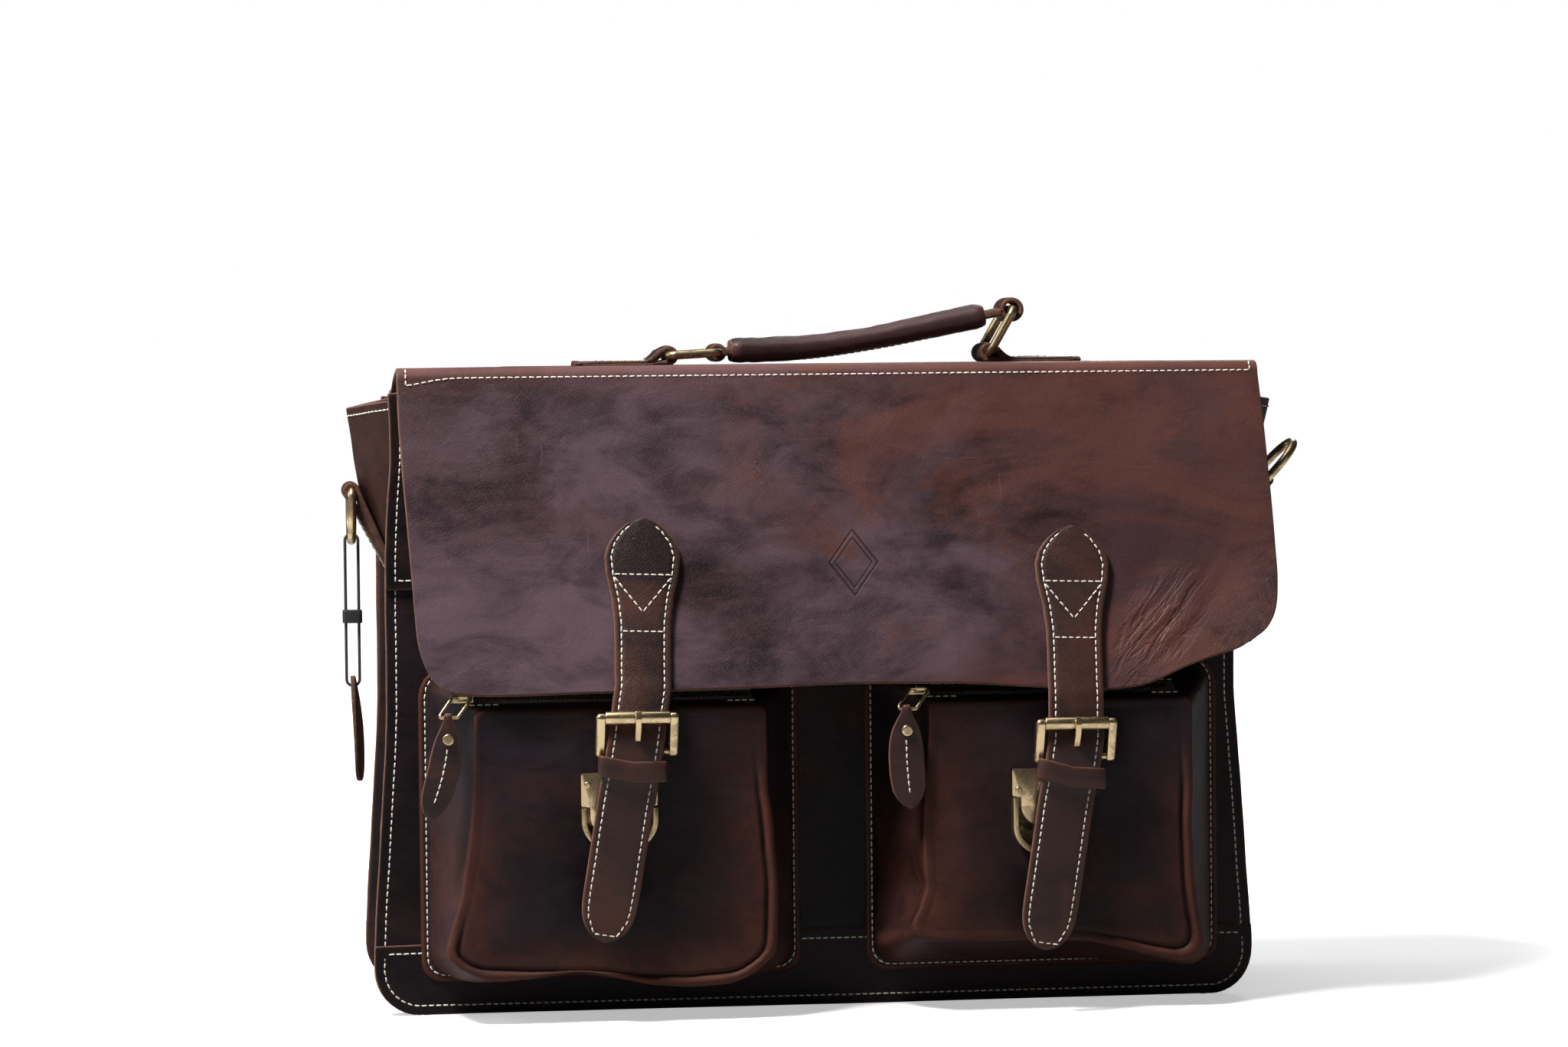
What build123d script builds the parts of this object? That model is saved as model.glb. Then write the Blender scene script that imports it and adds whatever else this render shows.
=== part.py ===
from build123d import *
import os
from math import atan2, cos, degrees, hypot, radians, sin
from types import SimpleNamespace

# Leather satchel: a boxy bag with two zipped front pockets, a flap that folds
# over the top, two buckled straps with press locks, a ringed carrying handle,
# and a D-ring on each side, the left one with a hang tag. Millimetres; X is
# right seen from the front, the front faces -Y, +Z is up, and the origin is
# the centre of the base on the ground.

os.makedirs("parts", exist_ok=True)

# ---------------------------------------------------------------- dimensions
LEATHER = 2.0          # thickness of panel leather
RUN = 0.05             # radial running clearance

# Body
HALF_D = 50.0          # half depth to the inner faces of front and back panels
BODY_TOP = 288.0       # top of the front and back panels
BAND_H = 28.0          # height of the base bands
SEAM_Z = 195.0         # seam between the lower and upper front panels
SEAM = 6.0             # turned-out seam allowance
CORNER_R = 20.0        # bottom corner radius
GUSSET_BOTTOM = 22.0   # where the base panel ends and the side gussets start
# Half width of the body: (z, half width)
HALF_W = [
    (0, 202.0), (22, 202.0), (80, 198.5), (140, 194.5), (195, 194.0), (274, 195.5), (288, 196.0),
]
BASE_HALF_W = HALF_W[0][1]

# Front pockets
POCKET_BACK_Y = -HALF_D - 2 * LEATHER       # outer face of the pocket flange
POCKET_FRONT_Y = -94.0                      # outer face of the pocket fronts
POCKET_INNER_Y = POCKET_FRONT_Y + LEATHER   # inner face of the pocket fronts
POCKET_TOP_BACK = 154.2
POCKET_TOP_FRONT = 140.6
POCKET_WALL = 2.4      # inset of the pocket hollow
CUT_TOP = 170.0        # top of the pocket hollow's cutter, above the pocket

# Zips and pulls
ZIP_Y = -82.0          # centre line of the zips
ZIP_HALF = 4.0         # half width of the zip slot
EYE_Y, EYE_Z = -92.0, 146.6      # slider eye
PULL_Y, PULL_Z = -97.8, 137.8    # lower bar of the pull ring
PULL_RING_R = 0.85
PULL_T = 2.8           # thickness of the pull tab
PULL_FACE_Y = PULL_Y - PULL_T / 2

# Press locks
LOCK_W = 34.0
BUTTON_W, BUTTON_H = 7.5, 3.5
CLIP_Y = POCKET_FRONT_Y - 1.0    # back of the clip
CLIP_T = 2.4
CLIP_FACE_Y = CLIP_Y - CLIP_T

# Flap
FLAP_TOP = 290.0       # underside of the flap over the bag
FLAP_FOLD_Y = -58.0    # outer face at the top front fold
FLAP_SLOPE = 40.0 / 141.0        # forward lean of the flap front per mm of drop
FLAP_FRONT_T = 2.076   # thickness of the leaning front, measured along Y

# Straps and buckles
STRAP_W = 25.0
STRAP_T = 3.0
FRAME_IN = 14.5        # half width inside the buckle frame
ARM_W = 4.0            # width of the frame arms along X
HEEL_Y = -101.8        # buckle heel bar
ROLLER_Y = -108.0
ROLLER_UP = 15.5       # roller bar above the heel bar
HEEL_R, ROLLER_BAR_R, ROLLER_R = 1.5, 1.6, 3.0
PRONG_W = 2.6

# Handle
WIRE_R = 2.0           # wire radius of the handle rings and D-rings
BEND_R = 3.0           # bend radius of that wire
RING_LEN = 23.0        # handle ring, bar to bar
RING_IN = 26.0         # handle ring, inside width
# Handle rings: pivot (x, z), angle above +X in degrees, far end of the tab
HANDLE_ENDS = {
    "left": SimpleNamespace(pivot=(-61.4, 296.7), angle=3.0, tab_end=-105.0),
    "right": SimpleNamespace(pivot=(88.3, 296.7), angle=60.0, tab_end=132.0),
}
TAB_W = 24.0
TAB_LOOP_R = 4.6
HANDLE_W, HANDLE_HALF_T = 20.0, 1.6
WRAP_W, WRAP_HALF_T = 23.0, 5.5
OPEN_R = 3.5           # inside radius of the slack right loop of the handle

# D-rings and hang tag
DRING_IN = 25.0        # inside width
DRING_DROP = 23.0      # bar to the far point of the bow
DRING_Z = 236.0
DRING_TAB_W = 22.8
CORD_R, CORD_HALF = 0.7, 3.0     # cord radius, half spacing of its two runs
TAG_TOP = 149.0        # bottom of the straight cord runs

# Left and right differ. sx: sign of X. flange, base, front: (x0, x1, bottom z)
# of the pocket outline at the flange, its back and its front. gusset: (z, reach
# of the gusset's middle). strap: (x, z) of head, bend and tip. lock_z: bottom
# and top of the lock. flap_z: lower end of the strap's straight run on the flap.
# dring_rest: degrees the D-ring is swung outward from hanging.
SIDES = [
    SimpleNamespace(
        name="left", sx=-1,
        gusset=[(22, 198.0), (80, 197.0), (140, 188.0), (195, 186.0), (236, 204.0), (274, 210.0)],
        flange=(-181.0, -8.0, 17.0), base=(-178.0, -11.0, 19.0), front=(-162.0, -27.0, 22.0),
        zip_x=-163.0, pull_x=-170.0,
        strap=[(-81.0, 223.5), (-83.5, 149.5), (-102.5, 37.5)], flap_z=149.5,
        heel_z=121.5, buckle_x=-86.8, lock_x=-94.3, lock_z=(77.8, 96.5), clip_top=112.0,
        dring_x=-208.2, dring_rest=0.0,
    ),
    SimpleNamespace(
        name="right", sx=1,
        gusset=[(22, 198.0), (80, 197.0), (140, 190.0), (195, 190.0), (236, 215.5), (274, 224.0)],
        flange=(22.0, 186.0, 17.0), base=(25.0, 183.0, 19.0), front=(44.0, 166.0, 24.0),
        zip_x=42.0, pull_x=35.0,
        strap=[(113.5, 217.5), (110.9, 126.0), (95.5, 29.0)], flap_z=143.5,
        heel_z=115.2, buckle_x=110.3, lock_x=99.8, lock_z=(71.5, 97.0), clip_top=110.0,
        dring_x=219.7, dring_rest=138.0,
    ),
]


# ------------------------------------------------------------------- helpers
def half_width(z):
    """Half width of the body at height z."""
    for (z0, w0), (z1, w1) in zip(HALF_W, HALF_W[1:]):
        if z0 <= z <= z1:
            return w0 + (w1 - w0) * (z - z0) / (z1 - z0)


def body_outline(z0, z1):
    heights = [z0] + [z for z, _ in HALF_W if z0 < z < z1] + [z1]
    right = [(half_width(z), z) for z in heights]
    return right + [(-x, z) for x, z in reversed(right)]


def flap_y(z):
    """Outer face of the flap front at height z."""
    return FLAP_FOLD_Y - FLAP_SLOPE * (FLAP_TOP - z)


def zip_z(y):
    """Top face of the sloping zip panels at depth y."""
    slope = (POCKET_TOP_BACK - POCKET_TOP_FRONT) / (POCKET_BACK_Y - POCKET_FRONT_Y)
    return POCKET_TOP_BACK + slope * (y - POCKET_BACK_Y)


def front_plane(y):
    """XZ plane at depth y, facing -Y."""
    return Plane.XZ.offset(-y)


def polygon(points, plane):
    with BuildSketch(plane) as sk:
        with BuildLine():
            Polyline(*points, close=True)
        make_face()
    return sk.sketch


def face_xz(points, y):
    """Closed outline in X and Z, facing -Y, at depth y."""
    return polygon(points, front_plane(y))


def face_yz(points, x):
    """Closed outline in Y and Z, facing +X, at x."""
    return polygon(points, Plane.YZ.offset(x))


def disc_yz(y, z, r, x):
    """Disc in the YZ plane at x, facing +X."""
    with BuildSketch(Plane.YZ.offset(x)) as sk:
        with Locations((y, z)):
            Circle(r)
    return sk.sketch


def box_points(x0, x1, z0, z1):
    return [(x0, z0), (x1, z0), (x1, z1), (x0, z1)]


def ribbon(spine, half, last_half=None):
    """Closed outline reaching half to each side of a spine, last_half at its last point."""
    one_side, other_side = [], []
    last = len(spine) - 1
    for i, (x, z) in enumerate(spine):
        x0, z0 = spine[max(i - 1, 0)]
        x1, z1 = spine[min(i + 1, last)]
        length = hypot(x1 - x0, z1 - z0)
        reach = last_half if last_half and i == last else half
        dx = -(z1 - z0) / length * reach
        dz = (x1 - x0) / length * reach
        one_side.append((x + dx, z + dz))
        other_side.append((x - dx, z - dz))
    return one_side + other_side[::-1]


def save(part, name):
    part.label = name
    export_step(part, f"parts/{name}.step")


def round_wire(name, path, radius):
    """Round wire or cord swept along a closed path."""
    with BuildPart() as wire:
        with BuildSketch(Plane(origin=path @ 0.0, z_dir=path % 0.0)):
            Circle(radius)
        sweep(path=path)
    save(wire.part, name)


# ----------------------------------------------------------- body of the bag
def body_panel(name, z0, z1, y):
    with BuildPart() as panel:
        extrude(face_xz(body_outline(z0, z1), y), amount=LEATHER)
    save(panel.part, name)


def base_band(name, y):
    with BuildPart() as band:
        with BuildSketch(front_plane(y)) as outline:
            with BuildLine():
                Polyline(*body_outline(0, BAND_H), close=True)
            make_face()
            fillet(outline.vertices().group_by(Axis.Y)[0], CORNER_R)
        extrude(amount=LEATHER)
    save(band.part, name)


def base_panel():
    """Bottom wall between the seams, with turned-out flanges front and back."""
    tall = 200                       # rounded stock, cut off at GUSSET_BOTTOM
    middle = tall / 2
    cut_z = GUSSET_BOTTOM + middle
    flange_lap = 1                   # overlap of the flanges into the wall
    wall_w = 2 * (BASE_HALF_W - SEAM)
    with BuildPart() as panel:
        with BuildSketch(front_plane(HALF_D)):
            with Locations((0, middle)):
                RectangleRounded(wall_w, tall, CORNER_R)
            with Locations((0, LEATHER + middle)):
                RectangleRounded(wall_w - 2 * LEATHER, tall, CORNER_R - LEATHER,
                                 mode=Mode.SUBTRACT)
            with Locations((0, cut_z)):
                Rectangle(500, tall, mode=Mode.SUBTRACT)
        extrude(amount=2 * HALF_D)
        for y in (-HALF_D + LEATHER, HALF_D):
            with BuildSketch(front_plane(y)):
                with Locations((0, middle)):
                    RectangleRounded(2 * BASE_HALF_W, tall, CORNER_R)
                with Locations((0, middle + flange_lap)):
                    RectangleRounded(wall_w - flange_lap, tall, CORNER_R - flange_lap,
                                     mode=Mode.SUBTRACT)
                with Locations((0, cut_z)):
                    Rectangle(500, tall, mode=Mode.SUBTRACT)
            extrude(amount=LEATHER)
    save(panel.part, "base_panel")


def side_gusset(side):
    """Side wall pinched at mid height and folded outwards at the top, with seam flanges."""
    flange_y = HALF_D - LEATHER
    fold_out, fold_in = 13, 12.6     # half depth of the flat middle, outer and inner face
    sections = []
    for z, mid in side.gusset:
        edge = half_width(z)
        wall = edge - SEAM
        outer = [(edge, -HALF_D), (edge, -flange_y), (wall, -flange_y), (mid, -fold_out),
                 (mid, fold_out), (wall, flange_y), (edge, flange_y), (edge, HALF_D)]
        inner = [(wall - LEATHER, HALF_D), (mid - LEATHER, fold_in),
                 (mid - LEATHER, -fold_in), (wall - LEATHER, -HALF_D)]
        points = [(side.sx * x, y) for x, y in outer + inner]
        sections.append(polygon(points, Plane.XY.offset(z)))
    with BuildPart() as gusset:
        loft(sections=sections, ruled=True)
    save(gusset.part, f"side_gusset_{side.name}")


# ------------------------------------------------------------------- inside
INSERT_W = 346         # width of the base board and the divider


def base_board():
    with BuildPart() as board:
        with BuildSketch(Plane.XY.offset(LEATHER)):
            RectangleRounded(INSERT_W, 92, 8)
        extrude(amount=2.0)
    save(board.part, "base_board")


def lining():
    """Open-topped box with 1 mm walls and floor."""
    width, depth, bottom, top, wall = 352, 99, 4.2, 268.0, 1
    with BuildPart() as box:
        with BuildSketch(Plane.XY.offset(bottom)):
            Rectangle(width, depth)
        extrude(amount=top - bottom)
        with BuildSketch(Plane.XY.offset(bottom + wall)):
            Rectangle(width - 2 * wall, depth - 2 * wall)
        extrude(amount=265, mode=Mode.SUBTRACT)
    save(box.part, "lining")


def divider():
    with BuildPart() as sheet:
        with BuildSketch(Plane.XY.offset(5.4)):
            with Locations((0, 20)):
                RectangleRounded(INSERT_W, 4, 1.9)
        extrude(amount=230)
    save(sheet.part, "divider")


# --------------------------------------------------------------- front pockets
def button_z(side):
    """Height of the lock button's centre."""
    return side.lock_z[1] - 5.25


def pocket_gusset(side):
    """Base flange on the front panel, and walls tapering to the smaller front."""
    flange_x0, flange_x1, flange_z = side.flange
    x0, x1, z0 = side.base
    front_x0, front_x1, front_z = side.front
    hollow = box_points(x0 + POCKET_WALL, x1 - POCKET_WALL, z0 + POCKET_WALL, CUT_TOP)
    front_hollow = box_points(front_x0 + POCKET_WALL, front_x1 - POCKET_WALL,
                              front_z + POCKET_WALL, CUT_TOP)
    front = box_points(front_x0, front_x1, front_z, POCKET_TOP_FRONT)
    with BuildPart() as gusset:
        loft(sections=[
            face_xz(box_points(x0, x1, z0, POCKET_TOP_BACK), POCKET_BACK_Y),
            face_xz(front, POCKET_INNER_Y),
        ], ruled=True)
        # The cutter overshoots both ends by 0.1
        loft(sections=[
            face_xz(hollow, POCKET_BACK_Y + 0.1),
            face_xz(front_hollow, POCKET_INNER_Y - 0.1),
        ], ruled=True, mode=Mode.SUBTRACT)
        flange = box_points(flange_x0, flange_x1, flange_z, POCKET_TOP_BACK + LEATHER)
        extrude(face_xz(flange, POCKET_BACK_Y + LEATHER), amount=LEATHER)
        extrude(face_xz(hollow, POCKET_BACK_Y + 3.0), amount=3.2, mode=Mode.SUBTRACT)
    save(gusset.part, f"pocket_{side.name}_gusset")


def pocket_front(side):
    x0, x1, z0 = side.front
    lock_x, post_z = side.lock_x, button_z(side)
    with BuildPart() as front:
        extrude(face_xz(box_points(x0, x1, z0, POCKET_TOP_FRONT), POCKET_INNER_Y),
                amount=LEATHER)
        # hole behind the lock button
        hole = box_points(lock_x - 4.6, lock_x + 4.6, post_z - 2.6, post_z + 2.6)
        extrude(face_xz(hole, POCKET_INNER_Y + 1), amount=LEATHER + 2, mode=Mode.SUBTRACT)
    save(front.part, f"pocket_{side.name}_front")


def zip_span(side):
    """Ends of the zip slot in X."""
    return side.front[0] + 4.5, side.front[1] - 8


def pocket_zip_panel(side):
    """Sloping top of the pocket, with a slot for the zip."""
    inset, gap = 2.5, 0.05
    slot_x0, slot_x1 = zip_span(side)
    sections = []
    for (x0, x1, _), y in ((side.base, POCKET_BACK_Y - gap), (side.front, POCKET_INNER_Y + gap)):
        points = box_points(x0 + inset, x1 - inset, zip_z(y) - LEATHER, zip_z(y))
        sections.append(face_xz(points, y))
    with BuildPart() as panel:
        loft(sections=sections, ruled=True)
        slot = face_yz(box_points(ZIP_Y - ZIP_HALF, ZIP_Y + ZIP_HALF, 130, 160), slot_x0)
        extrude(slot, amount=slot_x1 - slot_x0, mode=Mode.SUBTRACT)
    save(panel.part, f"pocket_{side.name}_zip_panel")


def zip_chain(side):
    """Strip that fills the zip slot and stands just above it."""
    below, above = 1.8, 0.6
    x0, x1 = zip_span(side)
    y0, y1 = ZIP_Y - ZIP_HALF + RUN, ZIP_Y + ZIP_HALF - RUN
    profile = [(y0, zip_z(y0) - below), (y1, zip_z(y1) - below),
               (y1, zip_z(y1) + above), (y0, zip_z(y0) + above)]
    with BuildPart() as chain:
        extrude(face_yz(profile, x0 + RUN), amount=x1 - x0 - 2 * RUN)
    save(chain.part, f"zip_chain_{side.name}")


def zip_slider(side):
    """Slider over the chain, with an eye at the front for the pull ring."""
    width, neck_w, eye_r, neck_half = 10, 4, 1.8, 1.7
    front_y, back_y = -88.0, -76.5
    front_z, back_z = zip_z(front_y), zip_z(back_y)
    neck_y = front_y + 1
    neck_x = side.zip_x - neck_w / 2
    block = [(front_y, front_z + 0.8), (back_y, back_z + 0.8), (back_y + 0.4, back_z + 2.4),
             (back_y - 2, back_z + 3.6), (front_y, front_z + 3.9)]
    neck = [(neck_y, front_z + 1.4), (neck_y, front_z + 3.9),
            (EYE_Y + 0.2, EYE_Z + neck_half), (EYE_Y + 0.2, EYE_Z - neck_half)]
    with BuildPart() as slider:
        extrude(face_yz(block, side.zip_x - width / 2), amount=width)
        extrude(face_yz(neck, neck_x), amount=neck_w)
        extrude(disc_yz(EYE_Y, EYE_Z, eye_r, neck_x), amount=neck_w)
        extrude(disc_yz(EYE_Y, EYE_Z, PULL_RING_R + RUN, neck_x), amount=neck_w,
                mode=Mode.SUBTRACT)
    save(slider.part, f"zip_slider_{side.name}")


def pull_ring(side):
    """Wire ring from the slider's eye down to the leather pull."""
    tilt = atan2(EYE_Y - PULL_Y, EYE_Z - PULL_Z)
    drop = hypot(EYE_Y - PULL_Y, EYE_Z - PULL_Z)
    shift = side.pull_x - side.zip_x
    plane = Plane(origin=(side.zip_x, EYE_Y, EYE_Z), x_dir=(1, 0, 0),
                  z_dir=(0, -cos(tilt), sin(tilt)))
    with BuildLine(plane) as path:
        loop = Polyline((-4.5, 0), (4.5, 0), (4.3 + shift, -drop), (-4.3 + shift, -drop),
                        close=True)
        fillet(loop.vertices(), 1.2)
    round_wire(f"pull_ring_{side.name}", path.wires()[0], PULL_RING_R)


# Right half of the pull tab below its top edge: (x from its centre line,
# z from the ring's lower bar)
PULL_TAB_EDGE = [(1.6, 1.9), (2.6, -2), (6.2, -9), (8, -20), (8, -36), (5.6, -42)]
PULL_TAB_TIP = -44.8


def pull_tab(side):
    right = [(side.pull_x + x, PULL_Z + z) for x, z in PULL_TAB_EDGE]
    left = [(side.pull_x - x, PULL_Z + z) for x, z in reversed(PULL_TAB_EDGE)]
    # starts at the top left corner and runs clockwise seen from the front
    points = left[-1:] + right + [(side.pull_x, PULL_Z + PULL_TAB_TIP)] + left[:-1]
    with BuildPart() as tab:
        with BuildSketch(front_plane(PULL_FACE_Y)):
            with BuildLine():
                Polyline(*points, close=True)
            make_face()
        extrude(amount=-PULL_T)
        extrude(disc_yz(PULL_Y, PULL_Z, PULL_RING_R + RUN, side.pull_x - 10), amount=20,
                mode=Mode.SUBTRACT)
    save(tab.part, f"pull_tab_{side.name}")


def pull_rivet(side):
    with BuildPart() as rivet:
        with BuildSketch(front_plane(PULL_FACE_Y)):
            with Locations((side.pull_x, PULL_Z - 9.5)):
                Circle(2.6)
        extrude(amount=1.2)
        fillet(rivet.edges().filter_by(GeomType.CIRCLE).sort_by(Axis.Y)[0], 0.9)
    save(rivet.part, f"pull_rivet_{side.name}")


# ---------------------------------------------------------------- press locks
def lock_body(side):
    """U-shaped body with a raised rim, and a slot for the button."""
    z0, z1 = side.lock_z
    height, middle = z1 - z0, (z0 + z1) / 2
    rim = 2.5
    with BuildPart() as body:
        with BuildSketch(front_plane(POCKET_FRONT_Y)) as outline:
            with Locations((side.lock_x, middle)):
                Rectangle(LOCK_W, height)
            fillet(outline.vertices().group_by(Axis.Y)[0], 13)
        extrude(amount=6.0)
        with BuildSketch(front_plane(POCKET_FRONT_Y - 2.0)) as inside:
            with Locations((side.lock_x, middle + rim)):
                Rectangle(LOCK_W - 2 * rim, height)
            fillet(inside.vertices().group_by(Axis.Y)[0], 11)
        extrude(amount=5.0, mode=Mode.SUBTRACT)
        with BuildSketch(front_plane(POCKET_FRONT_Y + 1)):
            with Locations((side.lock_x, button_z(side))):
                Rectangle(BUTTON_W + 2 * RUN, BUTTON_H + 2 * RUN)
        extrude(amount=5.0, mode=Mode.SUBTRACT)
    save(body.part, f"lock_body_{side.name}")


def lock_button(side):
    with BuildPart() as button:
        with BuildSketch(front_plane(POCKET_FRONT_Y - 0.6)):
            with Locations((side.lock_x, button_z(side))):
                Rectangle(BUTTON_W, BUTTON_H)
        extrude(amount=4.0)
        chamfer(button.faces().sort_by(Axis.Y)[0].edges(), 0.5)
    save(button.part, f"lock_button_{side.name}")


def lock_clip(side):
    """Brass clip on the end of the short strap, with a windowed tongue."""
    lock_top = side.lock_z[1]
    plate_z0, plate_z1 = lock_top + 0.3, side.clip_top
    tongue_t = 1.3
    with BuildPart() as clip:
        with BuildSketch(front_plane(CLIP_Y)):
            with Locations((side.lock_x, (plate_z0 + plate_z1) / 2)):
                RectangleRounded(LOCK_W, plate_z1 - plate_z0, 1.2)
        extrude(amount=CLIP_T)
        with BuildSketch(front_plane(CLIP_FACE_Y + tongue_t)) as tongue:
            with Locations((side.lock_x, lock_top - 5.4)):
                Rectangle(26, 14.4)
            fillet(tongue.vertices().group_by(Axis.Y)[0], 9)
        extrude(amount=tongue_t)
        with BuildSketch(front_plane(CLIP_Y - 0.5)):
            with Locations((side.lock_x, button_z(side) - 1.5)):
                Rectangle(8.5, 7.0)
        extrude(amount=3.0, mode=Mode.SUBTRACT)
    save(clip.part, f"lock_clip_{side.name}")


def clip_rivets():
    """Identical rivets, two on each clip, as one group."""
    spots = [(side.lock_x + dx, min(side.clip_top - 4.5, side.heel_z - 14.8))
             for side in SIDES for dx in (-14.2, 14.2)]
    with BuildPart() as rivets:
        with BuildSketch(front_plane(CLIP_FACE_Y)):
            with Locations(*spots):
                Circle(1.6)
        extrude(amount=0.9)
        fillet(rivets.edges().filter_by(GeomType.CIRCLE).group_by(Axis.Y)[0], 0.6)
    save(rivets.part, "clip_rivets")


# --------------------------------------------------------------------- straps
# Head of the strap: (half width, distance below the top)
STRAP_HEAD = [(0, 0), (6, 2.5), (11.5, 6), (15.5, 11), (17, 17), (16.2, 25), (13.8, 35), (12.5, 46)]
# Tip of the strap: (half width before slanting, height above the end)
STRAP_TIP = [(12.5, 20), (12, 13), (9.5, 6), (5, 1.5), (0, 0)]


def strap_x(side, z):
    """Centre line of the strap at height z."""
    (head_x, head_z), (bend_x, bend_z), (tip_x, tip_z) = side.strap
    if z > bend_z:
        return bend_x + (head_x - bend_x) * (z - bend_z) / (head_z - bend_z)
    return bend_x - (bend_x - tip_x) * (bend_z - z) / (bend_z - tip_z)


def strap_outline(side):
    """Front view of the strap."""
    (_, head_z), (bend_x, bend_z), (tip_x, tip_z) = side.strap
    widen = 1 / cos(atan2(bend_x - tip_x, bend_z - tip_z))   # level cut across the slant
    stations = [(half, head_z - drop) for half, drop in STRAP_HEAD]
    stations += [(STRAP_W / 2 * widen, z) for z in (bend_z, tip_z + 30)]
    stations += [(half * widen, tip_z + rise) for half, rise in STRAP_TIP]
    right = [(strap_x(side, z) + half, z) for half, z in stations]
    left = [(strap_x(side, z) - half, z) for half, z in stations[1:-1]]
    return right + left[::-1]


def strap(side):
    head_z, tip_z = side.strap[0][1], side.strap[2][1]
    heel, slot_x = side.heel_z, side.buckle_x
    # back face: on the flap, over the flap's edge, behind the roller,
    # in front of the heel bar, then down to the tip
    back = [(flap_y(head_z + 2), head_z + 2), (flap_y(side.flap_z), side.flap_z),
            (-101.8, heel + ROLLER_UP - 0.5), (-104.6, heel + 5), (-104.6, heel - 6),
            (-102.4, heel - 13), (-102.0, tip_z - 2)]
    profile = back + [(y - STRAP_T, z) for y, z in reversed(back)]
    hole_z = heel + 31
    with BuildPart() as part:
        extrude(face_yz(profile, side.strap[1][0] - 60), amount=120)
        extrude(face_xz(strap_outline(side), -60), amount=60, mode=Mode.INTERSECT)
        # slot for the prong
        slot = box_points(slot_x - 2.2, slot_x + 2.2, heel - 1.2, heel + 10.5)
        extrude(face_xz(slot, -95), amount=20, mode=Mode.SUBTRACT)
        # adjustment hole above the buckle
        with BuildSketch(front_plane(-90)):
            with Locations((strap_x(side, hole_z), hole_z)):
                Circle(1.7)
        extrude(amount=20, mode=Mode.SUBTRACT)
    save(part.part, f"strap_{side.name}")


def buckle_frame(side):
    """Heel bar and roller bar between two slot-shaped arms."""
    x, heel = side.buckle_x, side.heel_z
    bar_x, bar_len = x - FRAME_IN - ARM_W / 2, 2 * FRAME_IN + ARM_W
    with BuildPart() as frame:
        extrude(disc_yz(HEEL_Y, heel, HEEL_R, bar_x), amount=bar_len)
        extrude(disc_yz(ROLLER_Y, heel + ROLLER_UP, ROLLER_BAR_R, bar_x), amount=bar_len)
        for arm_x in (x - FRAME_IN - ARM_W, x + FRAME_IN):
            with BuildSketch(Plane.YZ.offset(arm_x)):
                with Locations(((HEEL_Y + ROLLER_Y) / 2, heel + ROLLER_UP / 2)):
                    SlotCenterToCenter(hypot(ROLLER_Y - HEEL_Y, ROLLER_UP), 4.6,
                                       rotation=degrees(atan2(ROLLER_UP, ROLLER_Y - HEEL_Y)))
            extrude(amount=ARM_W)
        # rounded outer sides of the arms
        fillet(frame.faces().sort_by(Axis.X)[0].edges(), 1.9)
        fillet(frame.faces().sort_by(Axis.X)[-1].edges(), 1.9)
    save(frame.part, f"buckle_frame_{side.name}")


def buckle_roller(side):
    start, z = side.buckle_x - FRAME_IN, side.heel_z + ROLLER_UP
    end_gap = 0.15
    with BuildPart() as roller:
        extrude(disc_yz(ROLLER_Y, z, ROLLER_R, start + end_gap),
                amount=2 * FRAME_IN - 2 * end_gap)
        extrude(disc_yz(ROLLER_Y, z, ROLLER_BAR_R + RUN, start), amount=2 * FRAME_IN,
                mode=Mode.SUBTRACT)
    save(roller.part, f"buckle_roller_{side.name}")


# Centre line of the prong from the heel bar's axis: (y, z)
PRONG_SPINE = [(-1.0, 1.2), (-4.7, 5.5), (-9.5, 11.2), (-10.9, 15.5), (-10.3, 18.6)]


def buckle_prong(side):
    """An eye on the heel bar, then up through the strap to the roller."""
    heel, start = side.heel_z, side.buckle_x - PRONG_W / 2
    spine = [(HEEL_Y + y, heel + z) for y, z in PRONG_SPINE]
    with BuildPart() as prong:
        extrude(disc_yz(HEEL_Y, heel, 2.5, start), amount=PRONG_W)
        extrude(face_yz(ribbon(spine, 1.3, last_half=0.8), start), amount=PRONG_W)
        extrude(disc_yz(HEEL_Y, heel, HEEL_R + RUN, start), amount=PRONG_W, mode=Mode.SUBTRACT)
    save(prong.part, f"buckle_prong_{side.name}")


def chape(side):
    """Short strap behind: loops the heel bar in two lugs, ends on the clip."""
    half = 12
    x, heel = side.buckle_x, side.heel_z
    low_x, low_z = (x + side.lock_x) / 2, side.clip_top - 13.0
    outline = [(x - half, heel + 0.5), (x + half, heel + 0.5), (x + half, heel - 3),
               (low_x + half, low_z), (low_x - half, low_z), (x - half, heel - 3)]
    with BuildPart() as part:
        extrude(face_xz(outline, -98.8), amount=2.8)
        extrude(disc_yz(HEEL_Y, heel, HEEL_R + 1.25, x - half), amount=2 * half)
        extrude(disc_yz(HEEL_Y, heel, HEEL_R + RUN, x - 20), amount=40, mode=Mode.SUBTRACT)
        # gap between the lugs for the prong
        extrude(face_xz(box_points(x - 2, x + 2, heel - 3.4, heel + 4), -96), amount=10,
                mode=Mode.SUBTRACT)
    save(part.part, f"chape_{side.name}")


def keeper(side):
    """Rectangular loop round the strap below the buckle."""
    x = strap_x(side, side.heel_z - 7.6) + 0.7
    with BuildPart() as loop:
        with BuildSketch(Plane.XY.offset(side.heel_z - 12.2)):
            with Locations((x, -103.4)):
                RectangleRounded(31.6, 11.8, 2)
            with Locations((x, -103.3)):
                RectangleRounded(28.8, 9.2, 1, mode=Mode.SUBTRACT)
        extrude(amount=9.0)
    save(loop.part, f"keeper_{side.name}")


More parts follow.
